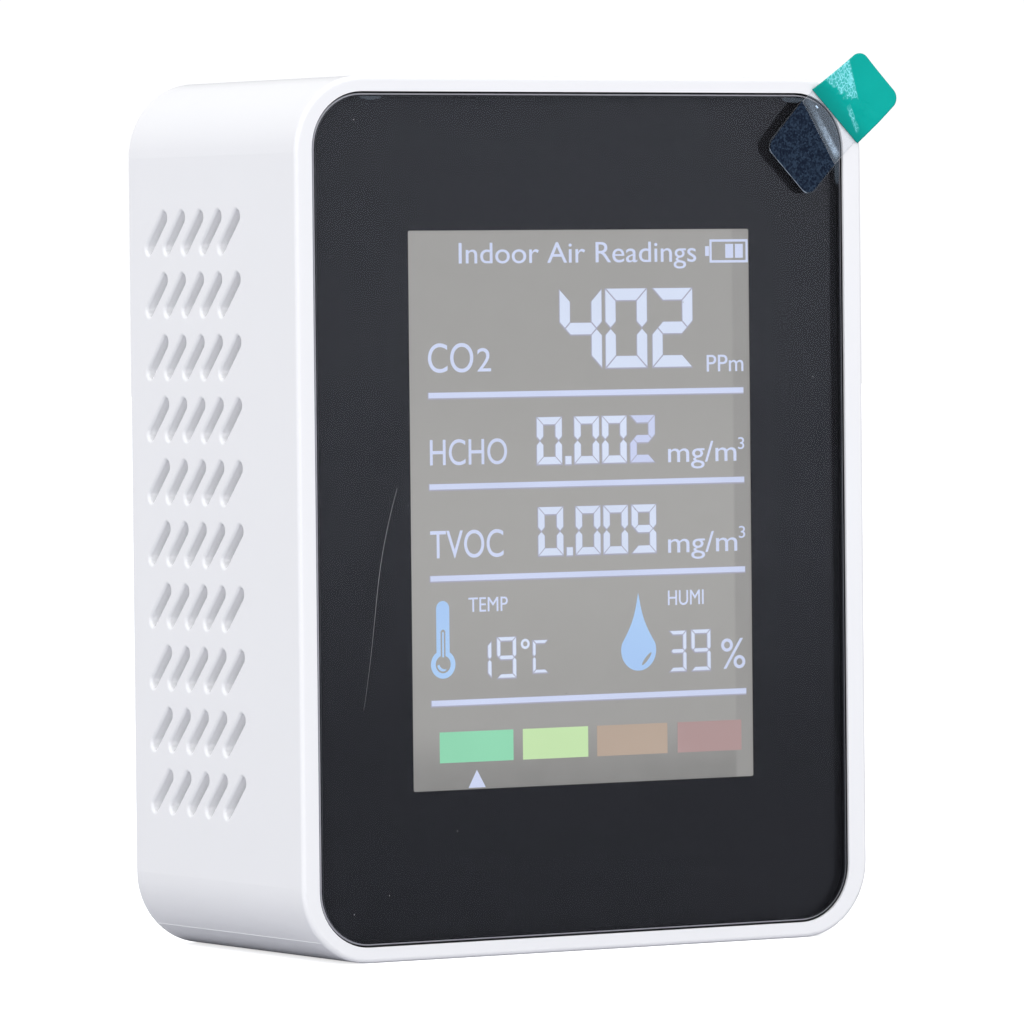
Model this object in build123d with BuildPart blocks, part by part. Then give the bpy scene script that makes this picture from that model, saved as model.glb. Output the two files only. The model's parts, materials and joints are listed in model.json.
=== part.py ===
from build123d import *
import os

# Desktop air quality monitor, in millimetres. X is the width, the display faces -Y and +Z is up.
# The origin is the centre of the base. Depths (the *_y values) run from the front, -Y, to the rear.

# Case
width = 70.0
depth = 36.0
height = 92.0
corner_radius = 8.0
wall = 1.8
rim_fillet = 0.5
rear_fillet = 0.4
witness_height = 0.05
witness_square = 0.14

# Side vents: rows of slots that lean forward at the top
vent_rows = 10
vent_columns = 5
vent_pitch_y = 3.92
vent_pitch_z = 6.577
vent_y = 4.07
vent_z = 46.42
slot_length = 5.83
slot_width = 1.3
slot_lean = 135.0
slot_fillet = 0.35

# Front panel
panel_x = -0.2
recess_width = 65.7
recess_height = 88.7
recess_radius = 6.0
lens_gap = 0.2
lens_recess = 0.2
lens_thick = 1.0
lens_chamfer = 0.15
mask_thick = 0.1
mask_inset = 0.05
adhesive_thick = 0.2
adhesive_border = 7.0
window_width = 42.2
window_height = 58.4
window_x = 0.18
window_z = 46.7

# Protective film and its pull tab
film_thick = 0.1
film_inset = 0.3
film_radius = 5.3
tape_thick = 0.1
tape_width = 7.5
tape_start = 76.0
tape_length = 6.5
tape_v = -39.95
flag_thick = 0.15
flag_start = 84.4
flag_length = 7.0
flag_root_width = 8.0
flag_tip_width = 7.2
flag_lift = 0.15
flag_tilt = 6.0

# Display stack
front_wall = 1.2
opening_gap = 0.3
active_margin = 1.2
gasket_thick = 0.3
gasket_border = 2.8
polariser_thick = 0.2
glass_thick = 1.1
glass_width = 49.0
glass_height = 67.0
glass_ledge = 1.6
diffuser_thick = 0.3
guide_thick = 1.0
reflector_thick = 0.2
frame_back = 0.8
led_count = 6

# Display bracket and its posts
post_x = 29.2
post_low_z = 24.0
post_high_z = 69.0
post_radius = 2.2
bracket_width = 63.0
bracket_height = 52.0
bracket_thick = 1.2
bracket_screw_reach = 2.4

# Rear cover
cover_gap = 0.15
cover_thick = 1.8
skirt_wall = 1.0
skirt_depth = 2.0
boss_x = 29.2
boss_inset = 5.8
boss_radius = 3.0
boss_end_y = 14.0
rear_vent_rows = 5
rear_vent_columns = 11
rear_vent_z = 62.0
standoff_radius = 2.5

# Main board
board_width = 62.4
board_height = 73.0
board_thick = 1.2
board_rear_y = 8.2
board_hole_x = 27.5
board_hole_inset = 4.0

# Screws
small_shank = 0.95
small_head = 1.8
small_head_thick = 1.2
rear_shank = 1.1
rear_head = 2.1
rear_head_thick = 1.2
thread_gap = 0.05

# Power button and switch
button_x = 0.0
button_z = 30.0
button_radius = 3.75
button_gap = 0.25
button_flange = 4.8
button_flange_thick = 0.8
button_proud = 0.4
switch_body = 6.0
switch_height = 3.5
plunger_radius = 1.7
plunger_gap = 0.05

# USB-C inlet
usb_x = 0.0
usb_z = 15.0
usb_width = 8.94
usb_height = 3.16
usb_shell = 0.25
usb_gap = 0.25
usb_end_y = 17.8

# Battery
cell_width = 34.0
cell_height = 50.0
cell_thick = 6.0
cell_z = 36.0
lead_diameter = 1.0

# Places worked out from the sizes above
front_y = -depth / 2
rear_y = depth / 2
mid_z = height / 2
lens_y = front_y + lens_recess
mask_y = lens_y + lens_thick
adhesive_y = mask_y + mask_thick
wall_front_y = adhesive_y + adhesive_thick
wall_back_y = wall_front_y + front_wall
glass_y = adhesive_y + gasket_thick
rear_polariser_y = glass_y + glass_thick
diffuser_y = rear_polariser_y + polariser_thick
guide_y = diffuser_y + diffuser_thick
reflector_y = guide_y + guide_thick
frame_floor_y = reflector_y + reflector_thick
bracket_y = frame_floor_y + frame_back
bracket_rear_y = bracket_y + bracket_thick
cell_front_y = bracket_rear_y + 0.3
cell_rear_y = cell_front_y + cell_thick
cover_y = rear_y - cover_thick
board_front_y = board_rear_y - board_thick
active_width = window_width + 2 * active_margin
active_height = window_height + 2 * active_margin
cell_top_z = cell_z + cell_height / 2
board_z = mid_z
board_holes_z = board_height / 2 - board_hole_inset


def facing(y):
    """Upright plane at depth y: local x is X, local y is Z, and it extrudes towards the front."""
    return Plane.XZ.offset(-y)


def corners(x, half_z):
    """Four places at plus and minus x, and plus and minus half_z about the middle of the case."""
    return [(side * x, mid_z + end * half_z) for side in (-1, 1) for end in (-1, 1)]


def slab(front, back, slab_width, slab_height, x=0.0, z=mid_z, radius=0.0):
    """An upright plate from depth front to depth back."""
    with BuildPart() as piece:
        with BuildSketch(facing(back)):
            with Locations((x, z)):
                if radius > 0:
                    RectangleRounded(slab_width, slab_height, radius)
                else:
                    Rectangle(slab_width, slab_height)
        extrude(amount=back - front)
    return piece


def disc(front, back, radius, x, z, hole=0.0):
    """A round piece whose axis runs from front to rear, with an optional hole through it."""
    with BuildPart() as piece:
        with BuildSketch(facing(back)):
            with Locations((x, z)):
                Circle(radius)
                if hole > 0:
                    Circle(hole, mode=Mode.SUBTRACT)
        extrude(amount=back - front)
    return piece


def ring(front, back, outer, inner, outer_radius, inner_radius, inner_centre):
    """A flat frame: a rounded outline about the panel's middle, less a rounded window."""
    with BuildPart() as piece:
        with BuildSketch(facing(back)):
            with Locations((panel_x, mid_z)):
                RectangleRounded(outer[0], outer[1], outer_radius)
            with Locations(inner_centre):
                RectangleRounded(inner[0], inner[1], inner_radius, mode=Mode.SUBTRACT)
        extrude(amount=back - front)
    return piece


def screws(places, seat_y, tip_y, shank, head, head_thick):
    """Cross-head screws along Y: the heads sit on seat_y, and the tips are at tip_y."""
    outward = 1 if seat_y > tip_y else -1
    top_y = seat_y + outward * head_thick
    recess_y = top_y - outward * 0.6
    with BuildPart() as group:
        with BuildSketch(facing(max(seat_y, tip_y))):
            with Locations(places):
                Circle(shank)
        extrude(amount=abs(seat_y - tip_y))
        with BuildSketch(facing(max(seat_y, top_y))):
            with Locations(places):
                Circle(head)
        extrude(amount=head_thick)
        rims = group.edges().filter_by(GeomType.CIRCLE).group_by(Axis.Y)[-1 if outward > 0 else 0]
        fillet(rims, 0.35)
        with BuildSketch(facing(max(top_y, recess_y))):
            with Locations(places):
                Rectangle(head * 1.2, 0.5)
                Rectangle(0.5, head * 1.2)
        extrude(amount=0.6, mode=Mode.SUBTRACT)
    return group


pieces = {}

# ---------------------------------------------------------------- case

with BuildPart() as front_shell:
    with BuildSketch(facing(rear_y)):
        with Locations((0, mid_z)):
            RectangleRounded(width, height, corner_radius)
    extrude(amount=depth)
    fillet(front_shell.edges().group_by(Axis.Y)[0], rim_fillet)
    fillet(front_shell.edges().group_by(Axis.Y)[-1], rear_fillet)

    # Parting lines of the side slides, a fine ridge along each lower corner
    ridge_reach = corner_radius + witness_height - witness_square / 2 ** 0.5
    ridge_x = width / 2 - corner_radius + ridge_reach / 2 ** 0.5
    ridge_z = height / 2 - corner_radius + ridge_reach / 2 ** 0.5
    with BuildSketch(facing(rear_y - rear_fillet)):
        with Locations((-ridge_x, mid_z - ridge_z), (ridge_x, mid_z - ridge_z)):
            Rectangle(witness_square, witness_square)
    extrude(amount=depth - rear_fillet - rim_fillet)

    # Cavity from the rear, recess for the lens, and opening for the display
    with BuildSketch(facing(rear_y)):
        with Locations((0, mid_z)):
            RectangleRounded(width - 2 * wall, height - 2 * wall, corner_radius - wall)
    extrude(amount=rear_y - wall_back_y, mode=Mode.SUBTRACT)
    with BuildSketch(facing(wall_front_y)):
        with Locations((panel_x, mid_z)):
            RectangleRounded(recess_width, recess_height, recess_radius)
    extrude(amount=wall_front_y - front_y, mode=Mode.SUBTRACT)
    with BuildSketch(facing(wall_back_y)):
        with Locations((window_x, window_z)):
            RectangleRounded(glass_width + 2 * opening_gap, glass_height + 2 * opening_gap, 1.0)
    extrude(amount=front_wall, mode=Mode.SUBTRACT)

    # Bosses for the rear cover's screws and posts for the display bracket
    boss_places = corners(boss_x, mid_z - boss_inset)
    post_places = [(side * post_x, z) for side in (-1, 1) for z in (post_low_z, post_high_z)]
    with BuildSketch(facing(boss_end_y)):
        with Locations(boss_places):
            Circle(boss_radius)
    extrude(amount=boss_end_y - wall_back_y)
    with BuildSketch(facing(bracket_y)):
        with Locations(post_places):
            Circle(post_radius)
    extrude(amount=bracket_y - wall_back_y)
    with BuildSketch(facing(boss_end_y)):
        with Locations(boss_places):
            Circle(rear_shank + thread_gap)
    extrude(amount=9.0, mode=Mode.SUBTRACT)
    with BuildSketch(facing(bracket_y)):
        with Locations(post_places):
            Circle(small_shank + thread_gap)
    extrude(amount=bracket_screw_reach + 0.3, mode=Mode.SUBTRACT)

    # Vents through both sides
    with BuildSketch(Plane.YZ):
        with Locations((vent_y, vent_z)):
            with GridLocations(vent_pitch_y, vent_pitch_z, vent_columns, vent_rows):
                SlotOverall(slot_length, slot_width, rotation=slot_lean)
    extrude(amount=width, both=True, mode=Mode.SUBTRACT)
    flat_sides = front_shell.faces().filter_by(Axis.X).sort_by(Axis.X)
    for side_face in (flat_sides[0], flat_sides[-1]):
        slot_edges = [edge for wire in side_face.inner_wires() for edge in wire.edges()]
        fillet(slot_edges, slot_fillet)
pieces["front_shell"] = front_shell

with BuildPart() as rear_cover:
    cover_width = width - 2 * wall - 2 * cover_gap
    cover_height = height - 2 * wall - 2 * cover_gap
    cover_radius = corner_radius - wall - cover_gap
    with BuildSketch(facing(rear_y)):
        with Locations((0, mid_z)):
            RectangleRounded(cover_width, cover_height, cover_radius)
    extrude(amount=cover_thick)
    fillet(rear_cover.edges().group_by(Axis.Y)[-1], rear_fillet)
    with BuildSketch(facing(cover_y)):
        with Locations((0, mid_z)):
            RectangleRounded(cover_width, cover_height, cover_radius)
            RectangleRounded(
                cover_width - 2 * skirt_wall,
                cover_height - 2 * skirt_wall,
                cover_radius - skirt_wall,
                mode=Mode.SUBTRACT,
            )
    extrude(amount=skirt_depth)

    # Screw bosses with counterbored holes, and standoffs that carry the main board
    with BuildSketch(facing(cover_y)):
        with Locations(boss_places):
            Circle(boss_radius)
    extrude(amount=cover_y - boss_end_y)
    with BuildSketch(facing(rear_y)):
        with Locations(boss_places):
            Circle(rear_shank + 0.15)
    extrude(amount=rear_y - boss_end_y, mode=Mode.SUBTRACT)
    with BuildSketch(facing(rear_y)):
        with Locations(boss_places):
            Circle(rear_head + 0.2)
    extrude(amount=rear_head_thick + 0.1, mode=Mode.SUBTRACT)
    board_places = corners(board_hole_x, board_holes_z)
    with BuildSketch(facing(cover_y)):
        with Locations(board_places):
            Circle(standoff_radius)
            Circle(small_shank + thread_gap, mode=Mode.SUBTRACT)
    extrude(amount=cover_y - board_rear_y)

    # Rear vents, the hole for the button, and the hole for the USB-C plug
    with BuildSketch(facing(rear_y)):
        with Locations((0, rear_vent_z)):
            with GridLocations(vent_pitch_y, vent_pitch_z, rear_vent_columns, rear_vent_rows):
                SlotOverall(slot_length, slot_width, rotation=slot_lean)
    extrude(amount=cover_thick, mode=Mode.SUBTRACT)
    with BuildSketch(facing(rear_y)):
        with Locations((button_x, button_z)):
            Circle(button_radius + button_gap)
        with Locations((usb_x, usb_z)):
            SlotOverall(usb_width + 2 * usb_gap, usb_height + 2 * usb_gap)
    extrude(amount=cover_thick, mode=Mode.SUBTRACT)
    rear_face = rear_cover.faces().filter_by(Axis.Y).sort_by(Axis.Y)[-1]
    hole_edges = [edge for wire in rear_face.inner_wires() for edge in wire.edges()]
    chamfer(hole_edges, 0.2)
pieces["rear_cover"] = rear_cover

pieces["rear_screws"] = screws(
    boss_places, rear_y - rear_head_thick - 0.1, 6.0, rear_shank, rear_head, rear_head_thick
)

# ---------------------------------------------------------------- front panel

lens_size = (recess_width - 2 * lens_gap, recess_height - 2 * lens_gap)
lens_radius = recess_radius - lens_gap
with BuildPart() as front_lens:
    with BuildSketch(facing(mask_y)):
        with Locations((panel_x, mid_z)):
            RectangleRounded(lens_size[0], lens_size[1], lens_radius)
    extrude(amount=lens_thick)
    chamfer(front_lens.edges().group_by(Axis.Y)[0], lens_chamfer)
pieces["front_lens"] = front_lens

mask_size = (lens_size[0] - 2 * mask_inset, lens_size[1] - 2 * mask_inset)
pieces["lens_mask"] = ring(
    mask_y, adhesive_y, mask_size, (window_width, window_height),
    lens_radius - mask_inset, 0.2, (window_x, window_z),
)
pieces["lens_adhesive"] = ring(
    adhesive_y, wall_front_y, mask_size,
    (mask_size[0] - 2 * adhesive_border, mask_size[1] - 2 * adhesive_border),
    lens_radius - mask_inset, 2.0, (panel_x, mid_z),
)

film_size = (lens_size[0] - 2 * film_inset, lens_size[1] - 2 * film_inset)
pieces["protective_film"] = slab(
    lens_y - film_thick, lens_y, film_size[0], film_size[1], x=panel_x, radius=film_radius
)

# The tab lies along the diagonal of the top right corner. Its planes have local x up that
# diagonal, from the origin, and local y across it, towards the case's top.
film_front_y = lens_y - film_thick
tab_plane = Plane(origin=(0, film_front_y, 0), x_dir=(1, 0, 1), z_dir=(0, -1, 0))
with BuildPart() as film_pull_tape:
    with BuildSketch(tab_plane):
        with Locations((tape_start + tape_length / 2, -tape_v)):
            Rectangle(tape_length, tape_width)
    extrude(amount=tape_thick)
    pad_end = film_pull_tape.edges().filter_by(Axis.Y).sort_by(Axis((0, 0, 0), (1, 0, 1)))[:2]
    fillet(pad_end, 1.2)
    with BuildSketch(tab_plane.offset(tape_thick)):
        with Locations(((tape_start + tape_length + flag_start) / 2 - 0.5, -tape_v)):
            Rectangle(flag_start - tape_start - tape_length + 3.0, tape_width - 0.4)
    extrude(amount=flag_lift - tape_thick + 0.1)
pieces["film_pull_tape"] = film_pull_tape

flag_hinge = Vector(flag_start / 2 ** 0.5, front_y - flag_lift, flag_start / 2 ** 0.5)
tilt_axis = Axis((0, 0, 0), (1, 0, -1))
flag_plane = Plane(
    origin=flag_hinge,
    x_dir=Vector(1, 0, 1).rotate(tilt_axis, flag_tilt),
    z_dir=Vector(0, -1, 0).rotate(tilt_axis, flag_tilt),
)
with BuildPart() as film_pull_flag:
    with BuildSketch(flag_plane):
        with BuildLine():
            Polyline(
                (0, -tape_v - flag_root_width / 2),
                (flag_length, -tape_v - flag_root_width / 2),
                (flag_length, -tape_v + flag_tip_width - flag_root_width / 2),
                (0, -tape_v + flag_root_width / 2),
                close=True,
            )
        make_face()
    extrude(amount=flag_thick)
    tip_corners = film_pull_flag.edges().filter_by(lambda edge: edge.length < 2 * flag_thick)
    fillet(tip_corners.sort_by(Axis((0, 0, 0), (1, 0, 1)))[-2:], 1.0)
pieces["film_pull_flag"] = film_pull_flag

# ---------------------------------------------------------------- display

window_place = (window_x, window_z)
with BuildPart() as display_gasket:
    with BuildSketch(facing(glass_y)):
        with Locations(window_place):
            Rectangle(active_width + gasket_border, active_height + gasket_border)
            Rectangle(active_width, active_height, mode=Mode.SUBTRACT)
    extrude(amount=gasket_thick)
pieces["display_gasket"] = display_gasket

pieces["front_polariser"] = slab(
    glass_y - polariser_thick, glass_y, active_width - 0.6, active_height - 0.6, *window_place
)
pieces["display_glass"] = slab(
    glass_y, rear_polariser_y, glass_width, glass_height, *window_place
)
pieces["rear_polariser"] = slab(
    rear_polariser_y, diffuser_y, active_width, active_height, *window_place
)
pieces["backlight_diffuser"] = slab(
    diffuser_y, guide_y, active_width + 0.6, active_height + 0.6, *window_place
)
pieces["light_guide"] = slab(
    guide_y, reflector_y, active_width + 0.6, active_height + 0.6, *window_place
)
pieces["backlight_reflector"] = slab(
    reflector_y, frame_floor_y, active_width + 0.6, active_height + 0.6, *window_place
)

guide_top_z = window_z + (active_height + 0.6) / 2
with BuildPart() as backlight_frame:
    with BuildSketch(facing(bracket_y)):
        with Locations((window_x, window_z + glass_ledge / 2)):
            RectangleRounded(glass_width, glass_height - glass_ledge, 0.6)
    extrude(amount=bracket_y - rear_polariser_y)
    with BuildSketch(facing(frame_floor_y)):
        with Locations(window_place):
            Rectangle(active_width + 0.8, active_height + 0.8)
    extrude(amount=frame_floor_y - rear_polariser_y, mode=Mode.SUBTRACT)
    with BuildSketch(facing(frame_floor_y)):
        with Locations((window_x, guide_top_z + 0.9)):
            Rectangle(active_width - 6.0, 2.0)
    extrude(amount=frame_floor_y - guide_y, mode=Mode.SUBTRACT)
pieces["backlight_frame"] = backlight_frame

with BuildPart() as backlight_leds:
    with BuildSketch(facing(reflector_y)):
        with Locations((window_x, guide_top_z + 0.75)):
            with GridLocations(6.0, 1.0, led_count, 1):
                Rectangle(3.0, 0.9)
    extrude(amount=guide_thick * 0.8)
pieces["backlight_leds"] = backlight_leds

with BuildPart() as display_bracket:
    bracket_mid_z = (post_low_z + post_high_z) / 2
    with BuildSketch(facing(bracket_rear_y)):
        with Locations((0, bracket_mid_z)):
            RectangleRounded(bracket_width, bracket_height, 2.0)
            with GridLocations(44.0, 34.0, 2, 2):
                SlotOverall(6.0, 3.0, mode=Mode.SUBTRACT)
        with Locations(post_places):
            Circle(small_shank + 0.15, mode=Mode.SUBTRACT)
    extrude(amount=bracket_thick)
pieces["display_bracket"] = display_bracket

pieces["bracket_screws"] = screws(
    post_places, bracket_rear_y, bracket_y - bracket_screw_reach, small_shank, small_head, small_head_thick
)

# The flex is bonded to the rear of the glass's lower ledge. It runs down behind the front wall,
# back under the battery, and turns up into its connector on the main board.
flex_width = 18.0
flex_thick = 0.15
connector_z = 13.0
connector_height = 4.6
connector_depth = 2.0
flex_front_y = rear_polariser_y + flex_thick / 2
glass_bottom_z = window_z - glass_height / 2
with BuildPart() as display_flex:
    with BuildSketch(Plane.YZ):
        with BuildLine():
            FilletPolyline(
                (flex_front_y, glass_bottom_z + glass_ledge - 0.2),
                (flex_front_y, glass_bottom_z - 5.0),
                (board_front_y - connector_depth / 2, glass_bottom_z - 5.0),
                (board_front_y - connector_depth / 2, connector_z),
                radius=2.0,
            )
        trace(line_width=flex_thick)
    extrude(amount=flex_width / 2, both=True)
pieces["display_flex"] = display_flex

pieces["flex_connector"] = slab(
    board_front_y - connector_depth, board_front_y, flex_width + 3.0, connector_height,
    z=connector_z + connector_height / 2,
)

# ---------------------------------------------------------------- main board

with BuildPart() as main_board:
    with BuildSketch(facing(board_rear_y)):
        with Locations((0, board_z)):
            RectangleRounded(board_width, board_height, 1.5)
        with Locations(board_places):
            Circle(small_shank + 0.15, mode=Mode.SUBTRACT)
    extrude(amount=board_thick)
pieces["main_board"] = main_board

pieces["board_screws"] = screws(
    board_places, board_front_y, board_rear_y + 5.0, small_shank, small_head, small_head_thick
)

chip_size = 10.0
chip_thick = 1.4
chip_z = 44.0
pieces["microcontroller"] = slab(
    board_front_y - chip_thick, board_front_y - 0.1, chip_size, chip_size, z=chip_z
)
with BuildPart() as microcontroller_leads:
    with BuildSketch(facing(board_front_y)):
        with Locations((0, chip_z)):
            with GridLocations(0.8, chip_size + 1.0, 11, 2):
                Rectangle(0.35, 1.0)
            with GridLocations(chip_size + 1.0, 0.8, 2, 11):
                Rectangle(1.0, 0.35)
    extrude(amount=0.6)
pieces["microcontroller_leads"] = microcontroller_leads

pieces["charger_chip"] = slab(board_rear_y, board_rear_y + 1.5, 5.0, 4.0, x=12.0, z=18.0)
pieces["power_inductor"] = slab(
    board_rear_y, board_rear_y + 3.0, 5.0, 5.0, x=20.0, z=19.0, radius=1.0
)
with BuildPart() as capacitors:
    with BuildSketch(facing(board_rear_y + 1.25)):
        with Locations((16.0, 26.0), (-12.0, 40.0)):
            with GridLocations(4.0, 3.0, 3, 2):
                Rectangle(2.0, 1.25)
    extrude(amount=1.25)
pieces["capacitors"] = capacitors
with BuildPart() as resistors:
    with BuildSketch(facing(board_rear_y + 0.45)):
        with Locations((-14.0, 20.0), (8.0, 44.0)):
            with GridLocations(2.8, 2.0, 4, 3):
                Rectangle(1.6, 0.8)
    extrude(amount=0.45)
pieces["resistors"] = resistors

# ---------------------------------------------------------------- sensors and buzzer

co2_width = 33.0
co2_height = 19.6
co2_z = 71.8
co2_board_y = board_front_y - 2.1
co2_front_y = -1.2
with BuildPart() as co2_sensor_housing:
    with BuildSketch(facing(co2_board_y)):
        with Locations((0, co2_z)):
            RectangleRounded(co2_width - 1.0, co2_height - 1.0, 1.5)
    extrude(amount=co2_board_y - co2_front_y)
    fillet(co2_sensor_housing.edges().group_by(Axis.Y)[0], 0.6)
    with BuildSketch(facing(co2_front_y + 0.4)):
        with Locations((0, co2_z)):
            SlotOverall(20.0, 6.0)
    extrude(amount=0.4, mode=Mode.SUBTRACT)
pieces["co2_sensor_housing"] = co2_sensor_housing

with BuildPart() as co2_sensor_filter:
    with BuildSketch(facing(co2_front_y + 0.4)):
        with Locations((0, co2_z)):
            SlotOverall(19.6, 5.6)
    extrude(amount=0.3)
pieces["co2_sensor_filter"] = co2_sensor_filter
pieces["co2_sensor_board"] = slab(
    co2_board_y, co2_board_y + 1.0, co2_width, co2_height, z=co2_z, radius=1.0
)
with BuildPart() as co2_sensor_pins:
    with BuildSketch(facing(board_front_y)):
        with Locations((0, co2_z)):
            with GridLocations(co2_width - 3.0, 2.54, 2, 5):
                Rectangle(0.64, 0.64)
    extrude(amount=board_front_y - co2_board_y - 1.0)
pieces["co2_sensor_pins"] = co2_sensor_pins

hcho_x = 19.0
gas_x = -19.0
sensor_z = 60.0
hcho_radius = 6.5
with BuildPart() as hcho_sensor_can:
    with BuildSketch(facing(board_rear_y + 6.2)):
        with Locations((hcho_x, sensor_z)):
            Circle(hcho_radius)
    extrude(amount=6.2)
    fillet(hcho_sensor_can.edges().group_by(Axis.Y)[-1], 0.5)
    with BuildSketch(facing(board_rear_y + 6.2)):
        with Locations((hcho_x, sensor_z)):
            Circle(3.5)
    extrude(amount=0.6, mode=Mode.SUBTRACT)
pieces["hcho_sensor_can"] = hcho_sensor_can
pieces["hcho_sensor_membrane"] = disc(
    board_rear_y + 5.6, board_rear_y + 5.9, 3.4, hcho_x, sensor_z
)

gas_radius = 4.6
pieces["gas_sensor_base"] = disc(board_rear_y, board_rear_y + 1.5, gas_radius, gas_x, sensor_z)
with BuildPart() as gas_sensor_cap:
    with BuildSketch(facing(board_rear_y + 7.0)):
        with Locations((gas_x, sensor_z)):
            Circle(gas_radius)
    extrude(amount=5.5)
    fillet(gas_sensor_cap.edges().group_by(Axis.Y)[-1], 0.5)
    with BuildSketch(facing(board_rear_y + 6.6)):
        with Locations((gas_x, sensor_z)):
            Circle(gas_radius - 0.4)
    extrude(amount=5.1, mode=Mode.SUBTRACT)
    with BuildSketch(facing(board_rear_y + 7.0)):
        with Locations((gas_x, sensor_z)):
            Circle(2.8)
    extrude(amount=0.4, mode=Mode.SUBTRACT)
pieces["gas_sensor_cap"] = gas_sensor_cap
pieces["gas_sensor_mesh"] = disc(
    board_rear_y + 6.3, board_rear_y + 6.6, gas_radius - 0.45, gas_x, sensor_z
)

pieces["humidity_sensor"] = slab(board_rear_y, board_rear_y + 0.9, 2.5, 2.5, x=-27.0, z=34.0)
pieces["buzzer"] = disc(board_rear_y, board_rear_y + 5.5, 6.0, 22.0, 36.0, hole=1.0)

# ---------------------------------------------------------------- battery

pieces["battery_tape"] = slab(
    bracket_rear_y, cell_front_y, cell_width - 6.0, cell_height - 8.0, z=cell_z
)
with BuildPart() as battery_cell:
    with BuildSketch(facing(cell_rear_y)):
        with Locations((0, cell_z)):
            RectangleRounded(cell_width, cell_height, 1.5)
    extrude(amount=cell_thick)
    fillet(battery_cell.edges().group_by(Axis.Y)[0], 1.4)
    fillet(battery_cell.edges().group_by(Axis.Y)[-1], 1.4)
pieces["battery_cell"] = battery_cell
protection_end_x = 15.0
protection_y = (cell_front_y + cell_rear_y) / 2
pieces["battery_board"] = slab(
    protection_y - 1.9, protection_y + 1.9, 2 * protection_end_x, 2.2, z=cell_top_z + 1.1
)

# The socket stands on the board, the plug sits in it, and two leads turn back to the battery
plug_x = 24.0
plug_z = cell_top_z + 1.1
socket_height = 4.5
plug_front_y = 1.2
with BuildPart() as battery_socket:
    with BuildSketch(facing(board_front_y)):
        with Locations((plug_x, plug_z)):
            Rectangle(7.4, 5.4)
    extrude(amount=socket_height)
    with BuildSketch(facing(board_front_y - 1.0)):
        with Locations((plug_x, plug_z)):
            Rectangle(6.0, 4.0)
    extrude(amount=socket_height - 1.0, mode=Mode.SUBTRACT)
pieces["battery_socket"] = battery_socket
pieces["battery_plug"] = slab(
    plug_front_y, board_front_y - 1.05, 5.9, 3.9, x=plug_x, z=plug_z
)
lead_pitch = 1.8
for lead_name, offset in (("battery_lead_red", 1), ("battery_lead_black", -1)):
    lead_x = plug_x + offset * lead_pitch / 2
    lead_y = protection_y - offset * lead_pitch / 2
    bend = 0.45 * (plug_front_y - lead_y)
    with BuildPart() as lead:
        with BuildLine() as route:
            FilletPolyline(
                (lead_x, plug_front_y, plug_z),
                (lead_x, lead_y, plug_z),
                (protection_end_x, lead_y, plug_z),
                radius=bend,
            )
        with BuildSketch(facing(plug_front_y)):
            with Locations((lead_x, plug_z)):
                Circle(lead_diameter / 2)
        sweep(path=route.line)
    pieces[lead_name] = lead

# ---------------------------------------------------------------- USB-C inlet

with BuildPart() as usb_port_shell:
    with BuildSketch(facing(usb_end_y)):
        with Locations((usb_x, usb_z)):
            SlotOverall(usb_width, usb_height)
            SlotOverall(usb_width - 2 * usb_shell, usb_height - 2 * usb_shell, mode=Mode.SUBTRACT)
    extrude(amount=usb_end_y - board_rear_y)
pieces["usb_port_shell"] = usb_port_shell

tongue_width = 6.7
tongue_thick = 0.7
tongue_end_y = usb_end_y - 0.7
insert_y = usb_end_y - 6.2
with BuildPart() as usb_port_insert:
    with BuildSketch(facing(insert_y)):
        with Locations((usb_x, usb_z)):
            SlotOverall(usb_width - 2 * usb_shell, usb_height - 2 * usb_shell)
    extrude(amount=insert_y - board_rear_y)
    with BuildSketch(facing(tongue_end_y)):
        with Locations((usb_x, usb_z)):
            Rectangle(tongue_width, tongue_thick)
    extrude(amount=tongue_end_y - insert_y)
pieces["usb_port_insert"] = usb_port_insert

with BuildPart() as usb_port_contacts:
    with BuildSketch(facing(tongue_end_y - 0.3)):
        with Locations((usb_x, usb_z)):
            with GridLocations(0.5, tongue_thick + 0.06, 12, 2):
                Rectangle(0.26, 0.06)
    extrude(amount=3.8)
pieces["usb_port_contacts"] = usb_port_contacts

# ---------------------------------------------------------------- power button

button_place = (button_x, button_z)
flange_rear_y = cover_y - 0.2
flange_front_y = flange_rear_y - button_flange_thick
with BuildPart() as power_button:
    with BuildSketch(facing(flange_rear_y)):
        with Locations(button_place):
            Circle(button_flange)
    extrude(amount=button_flange_thick)
    with BuildSketch(facing(rear_y + button_proud)):
        with Locations(button_place):
            Circle(button_radius)
    extrude(amount=rear_y + button_proud - flange_rear_y)
    fillet(power_button.edges().group_by(Axis.Y)[-1], 0.4)
pieces["power_button"] = power_button

switch_rear_y = board_rear_y + switch_height
bore_floor_y = switch_rear_y - 1.6
with BuildPart() as tact_switch_body:
    with BuildSketch(facing(switch_rear_y)):
        with Locations(button_place):
            Rectangle(switch_body, switch_body)
    extrude(amount=switch_height)
    with BuildSketch(facing(switch_rear_y)):
        with Locations(button_place):
            Circle(plunger_radius + plunger_gap)
    extrude(amount=switch_rear_y - bore_floor_y, mode=Mode.SUBTRACT)
pieces["tact_switch_body"] = tact_switch_body
pieces["tact_switch_plunger"] = disc(
    bore_floor_y + 0.8, flange_front_y, plunger_radius, *button_place
)

# ---------------------------------------------------------------- output

os.makedirs("parts", exist_ok=True)
for name, piece in pieces.items():
    piece.part.label = name
    export_step(piece.part, f"parts/{name}.step")
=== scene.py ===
"""Looks of a desktop air quality monitor: its materials, the lit display and the film on the lens."""

import json
import math
import random

import bmesh
import bpy
from mathutils import Matrix, Vector, noise


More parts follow.
